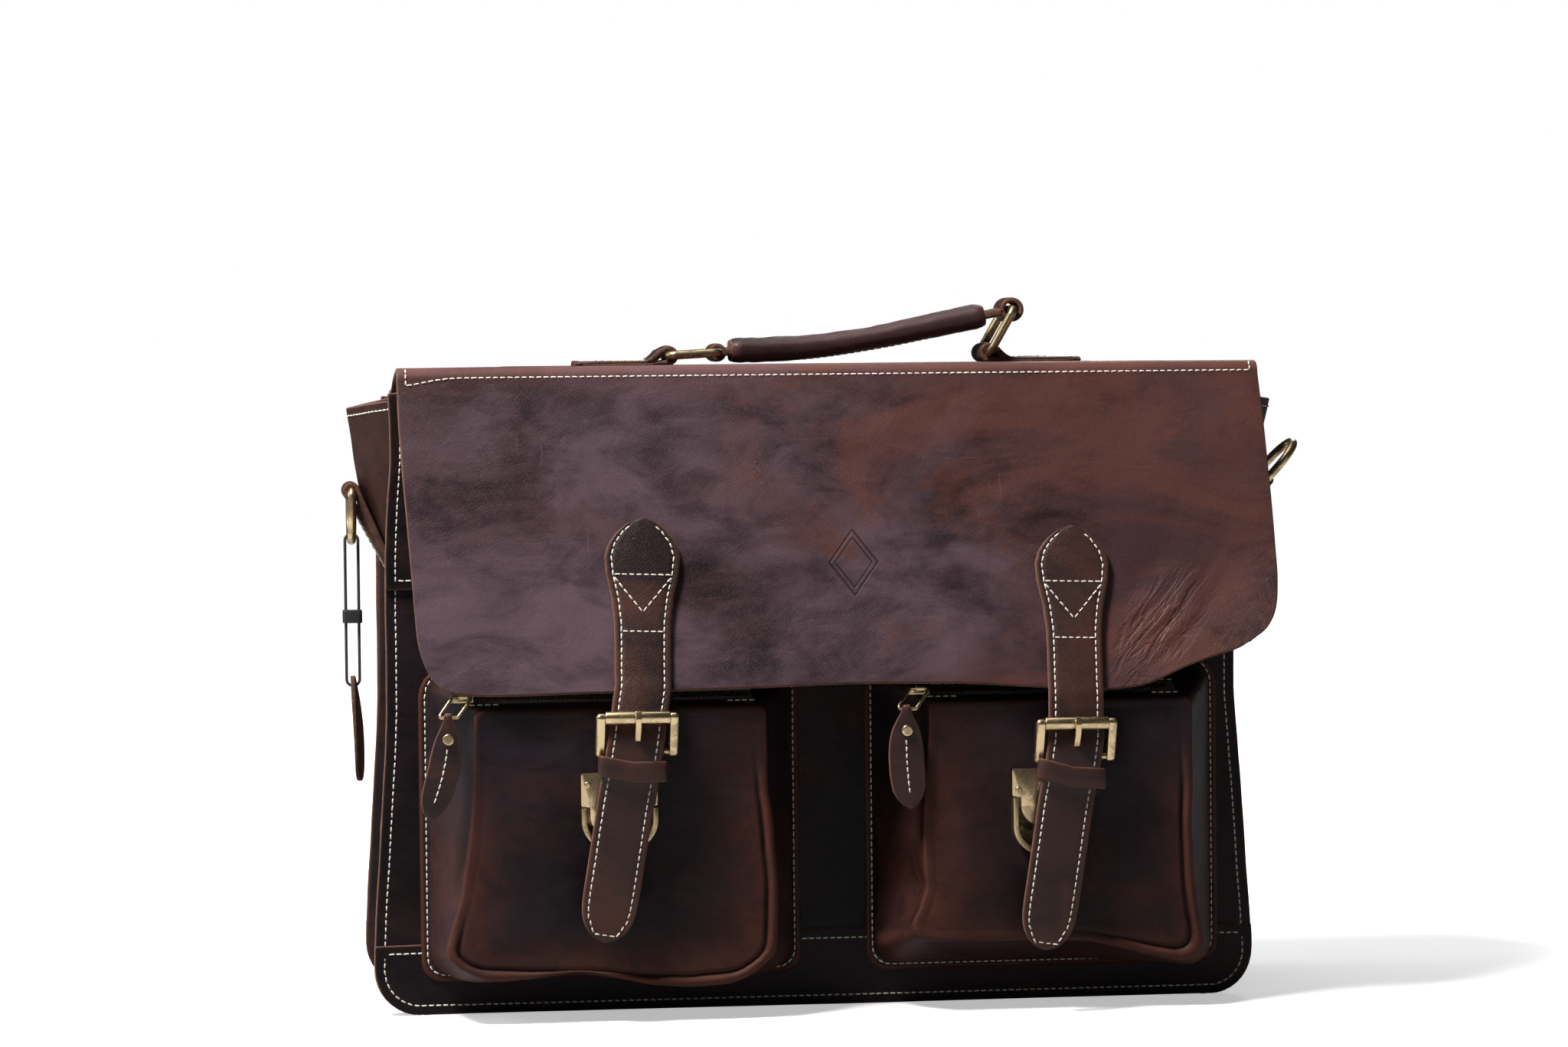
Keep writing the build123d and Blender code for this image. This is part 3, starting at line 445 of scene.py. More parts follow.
def leather(name, dark, mid, red, wax_and_sheen, seed, redness, wax_and_sheen_amount, spec, rough=0.44, sheen=0.04,
            painted_light_drift=0.0, creases=None, lozenge=None):
    """Waxed leather: red is the rubbed colour, the wax colour a pale waxed haze and a painted sheen
    highlight, and drift paints light from the left by shifting both along X.
    """
    s = Shader(name)
    broad = s.noise(8, detail=4, rough=0.55, distortion=0.5, stretch=(0.75, 1, 1.15),
                    offset=(seed, seed * 0.3, 0))
    medium = s.noise(34, detail=7, rough=0.64, distortion=0.7, stretch=(0.8, 1, 1.5),
                     offset=(0, seed, 2.1))
    fine = s.noise(240, detail=5, rough=0.6, stretch=(0.4, 1, 1.4))
    tone = s.add(s.add(s.mul(broad, 0.50), s.mul(medium, 0.36)), s.mul(fine, 0.14))
    base = s.ramp(tone, (0.42, dark), (0.57, mid))

    # pale waxed haze, partly painted sheen: purple-grey patches that stand in for soft highlights
    wax_and_sheen_noise = s.noise(11, detail=5, rough=0.6, distortion=0.8, stretch=(0.7, 1, 1.1),
                        offset=(7.7, seed + 4.4, 1.9))
    red_noise = s.noise(12, detail=6, rough=0.66, distortion=0.9, stretch=(0.7, 1, 1.1),
                        offset=(3.3, seed + 1.7, 0.4))
    # painted light from the left: more sheen towards -X, more red patches towards +X
    if painted_light_drift:
        x = s.axes()[0]
        wax_and_sheen_noise = s.sub(wax_and_sheen_noise, s.mul(x, painted_light_drift))
        red_noise = s.add(red_noise, s.mul(x, painted_light_drift * 0.6))
    bloom_and_sheen = s.mul(s.ramp(wax_and_sheen_noise, (0.38, 0.0), (0.68, 1.0)),
                  s.ramp(medium, (0.32, 0.45), (0.60, 1.0)))
    base = s.mix(s.mul(bloom_and_sheen, wax_and_sheen_amount), base, wax_and_sheen)

    # rubbed places, both random and from the mesh's wear attribute
    wear = s.node("Attribute", attribute_name="wear").outputs["Fac"]
    broken = s.noise(55, detail=6, rough=0.7, distortion=0.6, offset=(seed, 9.1, 3.0))
    worn = s.mul(wear, s.ramp(broken, (0.30, 0.35), (0.62, 1.0)))
    patches = s.ramp(red_noise, (0.48, 0.0), (0.66, 1.0))
    base = s.mix(s.largest(s.mul(patches, redness), worn), base, red)

    scratch = scratches(s, seed)
    base = s.mix(s.mul(scratch, 0.34), base, scaled(wax_and_sheen, 1.5, 0.015))
    edges = s.ramp(s.node("NewGeometry").outputs["Pointiness"], (0.505, 0.0), (0.56, 1.0))
    base = s.mix(s.mul(edges, 0.6), base, scaled(red, 1.25))

    gloss = s.add(s.mul(medium, 0.26), rough - 0.13)
    gloss = s.add(gloss, s.mul(s.largest(scratch, worn), 0.14), clamp=True)
    normal = grain(s, scratch)
    if creases:
        base, normal = add_creases(s, base, normal, red, **creases)
    if lozenge:
        base, normal = add_lozenge(s, base, normal, dark, **lozenge)
    return s.finish(Base_Color=base, Roughness=gloss, Normal=normal, Specular_IOR_Level=spec,
                    Sheen_Weight=sheen, Sheen_Roughness=0.45, Sheen_Tint=(0.86, 0.74, 0.86, 1))


def suede(name, light, dark):
    s = Shader(name)
    nap = s.noise(420, detail=6, rough=0.7, distortion=0.3)
    patches = s.noise(60, detail=4, rough=0.6)
    tone = s.add(s.mul(nap, 0.6), s.mul(patches, 0.4))
    return s.finish(
        Base_Color=s.ramp(tone, (0.38, dark), (0.62, light)), Roughness=0.92,
        Sheen_Weight=0.35, Sheen_Tint=(1.0, 0.7, 0.55, 1),
        Normal=s.bump(s.noise(900, detail=5, rough=0.75), strength=0.8, distance=0.0008))


def brass(name, base, dark, rough, patina):
    """Brass with dark patina that is rubbed off the edges."""
    s = Shader(name)
    blotches = s.noise(120, detail=6, rough=0.65, distortion=0.5)
    specks = s.noise(900, detail=4, rough=0.6)
    edge = s.ramp(s.node("NewGeometry").outputs["Pointiness"], (0.49, 0.0), (0.56, 1.0))
    aged = s.ramp(s.add(s.mul(blotches, 0.75), s.mul(specks, 0.25)), (0.42, 1.0), (0.62, 0.0))
    aged = s.mul(s.sub(aged, s.mul(edge, 0.9), clamp=True), patina)
    gloss = s.add(s.mul(aged, 0.25), s.add(s.mul(specks, 0.12), rough - 0.06))
    normal = s.bump(s.add(blotches, s.mul(specks, 0.4)), strength=0.12, distance=0.0004)
    return s.finish(Base_Color=s.mix(aged, base, dark), Metallic=1.0, Roughness=gloss,
                    Normal=normal)


def thread(name, colour):
    s = Shader(name)
    tone = s.noise(500, detail=3, rough=0.5)
    twist = s.wave(scale=900.0, distortion=0.3, direction="DIAGONAL")
    return s.finish(Base_Color=s.ramp(tone, (0.3, scaled(colour, 0.86)), (0.55, colour)),
                    Roughness=0.7, Sheen_Weight=0.2,
                    Normal=s.bump(twist, strength=0.35, distance=0.0002))


def cloth(name, colour, weave):
    """Woven cloth; weave is the fineness in radians."""
    s = Shader(name)
    across, down = (s.wave(scale=weave / 6.283, distortion=0.4, direction=axis) for axis in "XZ")
    threads = s.mul(across, down)
    tone = s.add(s.mul(threads, 0.35), s.mul(s.noise(60, detail=5, rough=0.6), 0.65))
    return s.finish(Base_Color=s.ramp(tone, (0.25, scaled(colour, 0.55)), (0.7, colour)),
                    Roughness=0.88, Sheen_Weight=0.2,
                    Normal=s.bump(threads, strength=0.5, distance=0.0004))


def black_bead():
    s = Shader("black_bead")
    tone = s.ramp(s.noise(400, detail=3), (0.3, 0.008), (0.7, 0.02))
    return s.finish(Base_Color=tone, Roughness=0.5)


def pale_floor():
    """Pale to the camera and darker to bounced light, fading into the white surround."""
    s = Shader("pale_floor")
    ray = s.node("LightPath").outputs
    pale = s.ramp(s.noise(3, detail=3), (0.3, (0.90, 0.898, 0.895)), (0.7, (0.92, 0.918, 0.915)))
    seen = s.largest(ray["Is Camera Ray"], s.mul(ray["Is Glossy Ray"], 0.7))
    reach = s.node("VectorMath", operation="LENGTH", Vector=s.coord).outputs["Value"]
    glow = s.ramp(s.mul(reach, 0.4), (0.16, 0.46), (0.52, 1.0))
    return s.finish(Base_Color=s.mix(seen, (0.20, 0.19, 0.185), pale), Roughness=0.8,
                    Specular_IOR_Level=0.1, Emission_Color=(1, 1, 1, 1),
                    Emission_Strength=s.mul(ray["Is Camera Ray"], glow))


# Body leather: the flap's leather made far darker, as painted shade under the flap and away from
# the light above.
M_BODY_PAINTED_SHADE = leather(
    "leather_body_painted_shade", dark=(0.0024, 0.0016, 0.0021), mid=(0.0110, 0.0056, 0.0068),
    red=(0.060, 0.0225, 0.0155), wax_and_sheen=(0.034, 0.022, 0.030), seed=0.0,
    redness=0.35, wax_and_sheen_amount=0.3, spec=0.12, sheen=0.0)
# Pocket leather: also darker than the flap's, as painted shade under the flap's overhang; its wax
# colour paints a soft sheen patch.
M_POCKET_PAINTED_SHADE = leather(
    "leather_pocket_painted_shade", dark=(0.0022, 0.0015, 0.0021), mid=(0.0105, 0.0052, 0.0064),
    red=(0.088, 0.0300, 0.0200), wax_and_sheen=(0.036, 0.026, 0.037), seed=1.3,
    redness=0.30, wax_and_sheen_amount=0.5, spec=0.13, sheen=0.0)
# Flap leather: its wax colour doubles as a painted sheen highlight, and its drift paints light
# falling from the left.
M_FLAP = leather(
    "leather_flap", dark=(0.0125, 0.0060, 0.0078), mid=(0.054, 0.0250, 0.0275),
    red=(0.125, 0.0420, 0.0285), wax_and_sheen=(0.140, 0.088, 0.112), seed=4.7,
    redness=0.62, wax_and_sheen_amount=0.66, spec=0.2, sheen=0.02, painted_light_drift=0.75,
    creases=dict(x=151.0, z=172.0, radii=(0.021, 0.042)),
    lozenge=dict(x=14.0, z=203.0, half_x=11.0, half_z=14.5))
M_STRAP = leather(
    "leather_strap", dark=(0.0145, 0.0072, 0.0066), mid=(0.036, 0.0160, 0.0135),
    red=(0.092, 0.0310, 0.0190), wax_and_sheen=(0.042, 0.025, 0.026), seed=9.2,
    redness=0.6, wax_and_sheen_amount=0.3, spec=0.25, rough=0.42)
M_GRIP = leather(
    "leather_grip", dark=(0.018, 0.0085, 0.0092), mid=(0.046, 0.0200, 0.0215),
    red=(0.080, 0.028, 0.022), wax_and_sheen=(0.060, 0.036, 0.042), seed=2.2,
    redness=0.4, wax_and_sheen_amount=0.4, spec=0.3, rough=0.40)
M_EDGE = suede("raw_edge", light=(0.150, 0.054, 0.031), dark=(0.040, 0.016, 0.011))
M_FLESH = suede("flesh_side", light=(0.105, 0.050, 0.034), dark=(0.050, 0.024, 0.018))
M_BRASS = brass("antique_brass", base=(0.60, 0.46, 0.27), dark=(0.11, 0.075, 0.045),
                rough=0.25, patina=0.75)
M_BRASS_DARK = brass("antique_brass_dark", base=(0.46, 0.36, 0.20), dark=(0.05, 0.036, 0.025),
                     rough=0.30, patina=1.0)
M_TEETH = brass("zip_teeth_brass", base=(0.21, 0.155, 0.085), dark=(0.03, 0.021, 0.015),
                rough=0.38, patina=1.0)
M_THREAD = thread("cream_thread", (1.0, 0.93, 0.79))
M_CORD = thread("waxed_cord", (0.035, 0.018, 0.014))
M_LINING = cloth("lining_cloth", (0.19, 0.125, 0.082), weave=1500.0)
M_TAPE = cloth("zip_tape", (0.05, 0.032, 0.026), weave=2400.0)
M_BLACK = black_bead()
# material slots of a leather piece: face, raw edge, flesh side
BODY_MATS_PAINTED_SHADE, POCKET_MATS_PAINTED_SHADE, FLAP_MATS, STRAP_MATS, GRIP_MATS = (
    [face, M_EDGE, M_FLESH] for face in (M_BODY_PAINTED_SHADE, M_POCKET_PAINTED_SHADE, M_FLAP, M_STRAP, M_GRIP))

bag_thread = MeshBuilder()      # stitching fixed to the bag
flap_thread = MeshBuilder()     # stitching that moves with the flap

# ------------------------------------------------------------------ body panels
HALF_WIDTH = [(0, 202.0), (22, 202.0), (80, 198.5), (140, 194.5),      # z, half width
              (195, 194.0), (274, 195.5), (288, 196.0)]
# z, distance of the gusset's middle line from the bag's centre, by side (-1 is left)
GUSSET_MID = {
    -1: [(0, 197.0), (22, 198.0), (80, 197.0), (140, 188.0),
         (195, 186.0), (236, 204.0), (274, 210.0)],
    1: [(0, 197.0), (22, 198.0), (80, 197.0), (140, 190.0),
        (195, 190.0), (236, 215.5), (274, 224.0)]}
CORNER = 20.0
PANEL_Y = 52.0
PANEL_TOP = 288.0
BAND_TOP, BAND_PROUD = 28, 1.1
UPPER_BOTTOM, UPPER_PROUD = 193, 1.9
SEAM_INSET = 4.2
LEATHER = 2.0
BACK_SEED = 4.0
PANEL_ROWS = np.concatenate([CORNER * (1 - np.cos(np.linspace(0, math.pi / 2, 10))),
                             np.linspace(CORNER, PANEL_TOP, 56)[1:-1], [286.5, 287.5, PANEL_TOP]])


def half_width(z):
    width = table(HALF_WIDTH, z)
    if z < CORNER:
        width -= CORNER - math.sqrt(max(CORNER ** 2 - (CORNER - z) ** 2, 0))
    return width


def top_lean(z, side):
    """Shift to the right of the upper left side."""
    return 3.6 * ease((z - 205) / 55) if side < 0 else 0.0


def edge_wave(z, side):
    return 0.7 * wobble(side * 50, 0, z, 60, 3.0 + side) + top_lean(z, side)


def band_z(x, z):
    """Height on a base band, whose top edge rises in a wave."""
    return z * (1 + (0.16 + 0.07 * math.cos((x - 10) / 90.0)) * (z / BAND_TOP))


def panel_point(x, z, sign, proud=0.0, seed=0.0):
    """Point on the outer face of the front (sign -1) or back (sign 1) panel."""
    w = max(half_width(z), 1.0)
    t = (x + w) / (2 * w)
    from_edge = min(x + w, w - x)
    bow = 1.2 * math.sin(math.pi * min(max(t, 0), 1))
    bow *= math.sin(math.pi * min(max((z - 5) / 285, 0), 1))
    bow += 0.5 * wobble(x, 3, z, 70, seed) * ease(from_edge / 20)
    groove = -0.22 * bell(from_edge - SEAM_INSET, 0.9)
    shift = edge_wave(z, -1) * (1 - t) + edge_wave(z, 1) * t
    return x + shift, sign * PANEL_Y + sign * (proud + bow + groove), z


def panel_grid(bottom, top, sign, proud, seed):
    inner = [z for z in PANEL_ROWS if bottom + 0.8 < z < top - 0.8]
    rows = []
    for z in [bottom, bottom + 0.5] + inner + [top - 0.5, top]:
        w = max(half_width(z), 1.0)
        row = []
        for t in edge_spaced(2 * w, 60, (0.5, 2.4, SEAM_INSET, 5.6)):
            x = -w + 2 * w * t
            px, py, pz = panel_point(x, z, sign, proud, seed)
            if top == PANEL_TOP and z > 230:
                # the top edge hangs lower towards its ends
                if sign > 0:
                    drop = 2.0 + 9.5 * ease((abs(x) - 132) / 56)
                else:
                    drop = 7.5 * ease((abs(x) - 168) / 28)
                pz = 230 + (z - 230) * (1 - drop / 58.0)
            elif top == BAND_TOP:
                pz = band_z(x, z)
            row.append((px, py, pz))
        rows.append(row)
    return np.array(rows)


def outline_path(inset, z_top):
    """Line inside the body outline: down the left, along the base and up the right."""
    left = [(-(half_width(z) - inset), z) for z in np.linspace(z_top, CORNER, 60)]
    cx, r = HALF_WIDTH[0][1] - CORNER, CORNER - inset
    left += [(-(cx + r * math.cos(a)), CORNER - r * math.sin(a))
             for a in np.linspace(0, math.pi / 2, 14)[1:]]
    base = [(x, inset) for x in np.linspace(-cx, cx, 60)[1:-1]]
    return left + base + [(-x, z) for x, z in reversed(left)]


def build_panels():
    # piece, bottom, top, sign, proud, thickness, seed
    for piece, bottom, top, sign, proud, thickness, seed in (
            ("front_panel_lower", 0, 199, -1, 0.0, LEATHER, 0.0),
            ("front_panel_upper", UPPER_BOTTOM, PANEL_TOP, -1, UPPER_PROUD, LEATHER, 0.0),
            ("base_band_front", 0.3, BAND_TOP, -1, BAND_PROUD, 1.6, 0.0),
            ("back_panel", 0, PANEL_TOP, 1, 0.0, LEATHER, BACK_SEED),
            ("base_band_back", 0.3, BAND_TOP, 1, BAND_PROUD, 1.6, BACK_SEED)):
        mesh = MeshBuilder()
        sheet(mesh, panel_grid(bottom, top, sign, proud, seed), thickness, sign=sign)
        mesh.skin(piece, BODY_MATS_PAINTED_SHADE, "bag", SLOT_BODY)


def stitch_panels():
    for sign, seed in ((-1, 0.0), (1, BACK_SEED)):
        out = vec(0, sign, 0)
        line = []
        for x, z in outline_path(SEAM_INSET, 280):
            if z < BAND_TOP + 0.5:
                proud = BAND_PROUD
            else:
                proud = UPPER_PROUD if z > UPPER_BOTTOM and sign < 0 else 0.0
            line.append(panel_point(x, z, sign, proud, seed))
        stitches(bag_thread, line, out)
        stitches(bag_thread, [panel_point(x, band_z(x, 25.2), sign, BAND_PROUD, seed)
                              for x in np.linspace(-196, 196, 120)], out)
        if sign < 0:
            stitches(bag_thread, [panel_point(x, 196.6, sign, UPPER_PROUD)
                                  for x in np.linspace(-189, 189, 120)], out)


# ------------------------------------------------------------------ gusset
GUSSET_TOP = 274.0
GUSSET_END_ROWS = [0.0, 0.5, 1.6, 3.4, 5.2]     # distances along the strip from either end
GUSSET_HALF_Y = [50.0, 49.6, 48.9, 47.6, 46.0, 43, 38, 32, 26, 20, 14, 9, 5, 2]
GUSSET_EDGE = 47.0      # the fold stands between this and the panel
GUSSET_RECESS = -6.0


def gusset_grid():
    """One strip down the left side, under the base and up the right side."""
    path = np.array(outline_path(0.0, GUSSET_TOP))
    length = arc_lengths(path)[-1]
    path = at_length(path, np.concatenate([
        GUSSET_END_ROWS, np.linspace(9.0, length - 9.0, 184),
        [length - e for e in reversed(GUSSET_END_ROWS)]]))
    tangent = np.gradient(path, axis=0)
    tangent /= np.linalg.norm(tangent, axis=1, keepdims=True)
    normal = np.stack([tangent[:, 1], -tangent[:, 0]], axis=1)
    normal *= np.sign(np.sum(normal * (path - vec(0, 140)), axis=1))[:, None]
    rows = []
    for (x, z), n in zip(path, normal):
        side = -1 if x < 0 else 1
        on_side = ease((z - 8) / 40)
        middle = (table(GUSSET_MID[side], z) - half_width(z)) * on_side - 5.0 * (1 - on_side)
        fold = ease((z - 190) / 60)
        row = []
        for y in [-y for y in GUSSET_HALF_Y] + [0] + GUSSET_HALF_Y[::-1]:
            a = abs(y)
            if a > GUSSET_EDGE:
                offset = lerp(GUSSET_RECESS, -0.1, ease((a - GUSSET_EDGE) / 2.6) ** 0.7)
            else:
                t = 1 - a / GUSSET_EDGE
                shape = lerp(math.sin(t * math.pi / 2) ** 1.3, t ** 0.92, fold)
                offset = GUSSET_RECESS + (middle - GUSSET_RECESS) * shape
            offset += 0.9 * wobble(x, y, z, 45, 8.0) * ease((48 - a) / 14)
            lean = top_lean(z, side) * ease((a - 20) / 24)
            rise = 4.5 * ease((z - 235) / 39) * (a / 50.0) ** 1.2
            row.append((x + n[0] * offset + lean, y, z + n[1] * offset + rise))
        rows.append(row)
    grid = np.array(rows)
    grid[:, :, 2] = np.maximum(grid[:, :, 2], 0.15)
    return grid


def gusset_wear(x, y, z):
    sides = 0.75 * ease((z - 150) / 70) * (0.45 + 0.55 * ease((46 - abs(y)) / 30))
    return sides + 0.15 * ease((60 - z) / 60)


def build_gusset():
    grid = gusset_grid()
    mesh = MeshBuilder()
    sheet(mesh, grid, LEATHER, sign=-1, wear=wear_map(grid, gusset_wear))
    mesh.skin("gusset", BODY_MATS_PAINTED_SHADE, "bag", SLOT_BODY,
              ["side_gusset_left", "side_gusset_right", "base_panel"])
    # hem along the top of each side
    for row, side in ((3, -1), (-4, 1)):
        out = vec(side, 0, 0)
        stitches(bag_thread, grid[row][4:-4] + out * 0.1, out)


# ------------------------------------------------------------------ flap
FLAP_LEFT, FLAP_RIGHT = -188.6, 204.8
FLAP_TOP = 286.0
FLAP_FORWARD, FLAP_DROP = 40.0, 141.0      # the front leans out this far over this drop
FLAP_NORMAL = unit(vec(0, -FLAP_DROP, FLAP_FORWARD))
# outline of the front, as x, z
FLAP_LEFT_EDGE = [(FLAP_LEFT, FLAP_TOP), (-188.0, 262), (-185.8, 225), (-184.0, 195),
                  (-182.6, 174), (-181.4, 167), (-179.5, 160.6), (-177.6, 156.6)]
FLAP_BOTTOM = [
    (-177.6, 156.6), (-175.2, 153.2), (-171.2, 150.4), (-165, 148.4), (-150, 147.5),
    (-117, 148.0), (-70, 148.6), (-30, 149.4), (10, 150.4), (61, 149.5), (90, 147.5),
    (118, 145.5), (134, 146.1), (146, 148.3), (163, 155.4), (175, 159.6), (186, 162.9),
    (192, 166.0)]
FLAP_RIGHT_EDGE = [(FLAP_RIGHT, FLAP_TOP), (206.2, 260), (207.2, 225), (207.2, 205),
                   (206.6, 192), (204.4, 180.0), (199.5, 171.5), (192, 166.0)]
# folds near the right corner: offset across, height, width, centre along, length
FLAP_FOLDS = [
    (-31, 0.5, 3.4, -20, 26), (-38.0, -0.45, 1.7, -24, 24), (-42.0, 0.5, 1.9, -28, 30),
    (-46.0, -0.7, 1.7, -22, 30), (-50.0, 0.5, 1.9, -30, 28), (-54.0, -0.45, 1.7, -34, 24),
    (-59.0, 0.45, 2.4, -30, 24), (-68.0, -0.5, 5.0, -26, 30)]


def flap_y(z):
    return -58.0 - FLAP_FORWARD / FLAP_DROP * (290.0 - z)


def corner_axes(x, z):
    """Distances across and along the folds of the flap's lower right corner."""
    return (x - 205) * 0.72 - (z - 160) * 0.70, (x - 205) * 0.70 + (z - 160) * 0.72


def flap_relief(x, z):
    """How far the flap's front stands out beyond its plane."""
    free = 1.0      # 0 under the straps
    for strap_x in (-82, 114.5):
        free *= ease((abs(x - strap_x) - 10) / 26)
    d = 1.1 * wobble(x, 0, z, 95, 12.0) * free
    d += 0.35 * wobble(x, 0, z, 26, 2.0) * free
    # the right corner turns outwards, with folds running up and left from it
    across, along = corner_axes(x, z)
    d += 7.5 * ease((across + 42) / 46) * free
    bend = 1.2 * math.sin(along / 11.0) + 0.0012 * (along + 26) ** 2
    bend += 1.5 * wobble(x, 0, z, 18, 21.0)
    for offset, height, width, centre, length in FLAP_FOLDS:
        fold = 0.62 * height * bell(across - offset + bend, width)
        d += fold * bell(along - centre, length) * min(1.0, free * 1.6)
    # the left corner rests back against the pocket
    d -= 3.0 * ease((-(x + 150) * 0.8 - (z - 175) * 0.5) / 40)
    # the lower edge bows forward between the straps
    d += 2.2 * bell(x - 15, 60) * ease((200 - z) / 55)
    return d


def flap_point(x, z):
    return vec(x, flap_y(z) - flap_relief(x, z) * ease((284 - z) / 30), z)


def flap_front(us):
    """Front face, blended between its four edges."""
    left = smooth_curve(FLAP_LEFT_EDGE, 60)
    right = smooth_curve(FLAP_RIGHT_EDGE, 60)
    top = resample(np.array([(FLAP_LEFT, FLAP_TOP), (FLAP_RIGHT, FLAP_TOP)]), 150)
    bottom = smooth_curve(FLAP_BOTTOM, 150)
    ts = np.concatenate([np.linspace(0, 1 - 3.6 / 140, 84), [1 - 1.8 / 140, 1 - 0.5 / 140, 1.0]])
    lefts, tops, bottoms, rights = (
        at_length(edge, params * arc_lengths(edge)[-1])
        for edge, params in ((left, ts), (top, us), (bottom, us), (right, ts)))
    rows = []
    for t, lp, rp in zip(ts, lefts, rights):
        row = []
        for u, tp, bp in zip(us, tops, bottoms):
            corners = ((1 - u) * (1 - t) * left[0] + u * (1 - t) * right[0]
                       + (1 - u) * t * left[-1] + u * t * right[-1])
            row.append(flap_point(*((1 - u) * lp + u * rp + (1 - t) * tp + t * bp - corners)))
        rows.append(row)
    return np.array(rows)


def end_sag(x, y):
    """How far the flap's top hangs below its middle, towards the back at both ends."""
    return 10.5 * ease((abs(x - 6) - 138) / 56) * ease((y + 62) / 110)


def flap_top(us):
    """From the back panel up and over the top to the front edge."""
    profile = [(55.2, 246), (55.3, 250), (55.2, 262), (54.9, 274), (54.4, 284),     # y, z
               (52.6, 289.4), (49.6, 291.8), (45.5, 292.4)]
    profile += [(y, 292.2 - 1.1 * math.sin(math.pi * (45 - y) / 96))
                for y in np.linspace(38, -46, 16)]
    profile += [(-52.5, 292.5), (-56.2, 291.6), (-58.2, 289.4), (flap_y(PANEL_TOP) - 0.25, 287.6)]
    rows = []
    for y, z in profile:
        row = []
        for u in us:
            x = lerp(FLAP_LEFT, FLAP_RIGHT, u)
            x = lerp(x, lerp(-187.5, 193.5, u), ease((y + 30) / 85))
            dz = 0.55 * wobble(x, y, 0, 80, 6.6) if -50 < y < 44 else 0.0
            # nearly flat under the handle tabs
            if -16 < y < 16 and (-110 < x < -52 or 80 < x < 136):
                dz *= 0.2
            sag = 1 if z > 283 or y < 50 else ease((z - 255) / 28)
            row.append((x, y, z + dz - end_sag(x, y) * sag))
        rows.append(row)
    return np.array(rows)


def flap_wear(x, y, z):
    if y > -57:
        return 0.35
    across, along = corner_axes(x, z)
    wear = 0.55 * bell(across + 36, 13) * bell(along + 10, 46)
    wear += 0.45 * bell(z - 290, 9) + 0.35 * bell(x - 190, 16) * ease((z - 160) / 60)
    wear += 0.30 * bell(z - 262, 16) * ease((x + 30) / 160)
    return min(wear, 0.9)


def build_flap():
    us = edge_spaced(392.0, 190, (0.5, 1.8))
    grid = np.concatenate([flap_top(us), flap_front(us)], axis=0)
    mesh = MeshBuilder()
    sheet(mesh, grid, LEATHER, wear=wear_map(grid, flap_wear))
    flap = mesh.skin("flap", FLAP_MATS, None, SLOT_BODY)
    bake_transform(flap)

    proud = vec(0, -0.1, 0)
    left, right = -185.0, 201.5
    stitches(flap_thread, [flap_point(x, 287.6 - 3.2 * bell(x + 187, 14)) + proud
                           for x in np.linspace(left, right, 200)], FLAP_NORMAL)
    for x, z in ((left, 284.2), (right, 287.4)):
        stitches(flap_thread, [vec(x, -56.2, 291.9), vec(x, -58.6, 289.4),
                               flap_point(x, z) + proud], unit(vec(0, -0.8, 0.6)))
    # where the flap joins the back panel
    stitches(bag_thread, [vec(x, 55.5, 249.5) for x in np.linspace(-189, 189, 140)], vec(0, 1, 0))


# ------------------------------------------------------------------ straps
# Each side's strap, lock and pocket:
#   strap: x, z of its head, bend and tip; heel_z: the buckle's heel bar
#   hollow_z: height of the hollow behind the lock; flap_z: the flap's lower edge
#   flange, base, front: left x, right x and bottom z of the pocket's outlines
#   pull_bend, pull_drift: sideways bow of the zip pull and shift at its tip
SIDES = [
    SimpleNamespace(
        name="left", strap=[(-81.0, 223.5), (-83.5, 149.5), (-102.5, 37.5)],
        heel_z=121.5, buckle_x=-86.8, lock_x=-94.3, hollow_z=91.25, clip_top=112.0,
        flap_z=149.5, keeper_tilt=0.17,
        flange=(-181.0, -8.0, 15.0), base=(-178.0, -11.0, 18.0), front=(-162.0, -27.0, 20.0),
        wall_seed=5.0, front_seed=3.1,
        pull_x=-170.0, pull_bend=1.4, pull_drift=-9.5, pull_width=0.88),
    SimpleNamespace(
        name="right", strap=[(113.5, 217.5), (110.9, 126.0), (95.5, 29.0)],
        heel_z=115.2, buckle_x=110.3, lock_x=99.8, hollow_z=91.75, clip_top=110.0,
        flap_z=143.5, keeper_tilt=0.30,
        flange=(22.0, 186.0, 15.0), base=(25.0, 183.0, 18.0), front=(44.0, 166.0, 22.0),
        wall_seed=7.7, front_seed=9.4,
        pull_x=35.0, pull_bend=-0.84, pull_drift=2.0, pull_width=1.0)]
STRAP_HALF = 12.5
STRAP_THICK = 3.0
# distance from the end of the strap, half width
STRAP_HEAD = [(0, 0.6), (1.0, 4.0), (2.5, 7.2), (6, 11.6), (11, 15.4), (17, 17.0),
              (25, 16.2), (35, 13.9), (46, 12.6), (56, STRAP_HALF)]
STRAP_TIP = [(0, 0.6), (0.8, 3.6), (1.8, 5.6), (3.5, 7.6), (6, 9.6), (10, 11.4),
             (15, 12.3), (22, STRAP_HALF), (30, 40)]


def half_section(w, thick, groove):
    """Half cross-section of a strap, from the back centre round the edge to the top centre."""
    g = 0.34 if groove and w > 6 else 0.0
    k = w / STRAP_HALF if w < STRAP_HALF else 1.0
    return [(0.0, 0.0), (w - 0.7 * k, 0.0), (w - 0.15, 0.35), (w, thick * 0.35),
            (w, thick * 0.72), (w - 0.3 * k, thick * 0.93), (w - 0.9 * k, thick),
            (w - 2.0 * k, thick + 0.02), (w - 2.8 * k, thick - g), (w - 3.6 * k, thick + 0.06),
            (w - 5.0 * k, thick + 0.12), (w * 0.35, thick + 0.3), (0.0, thick + 0.34)]


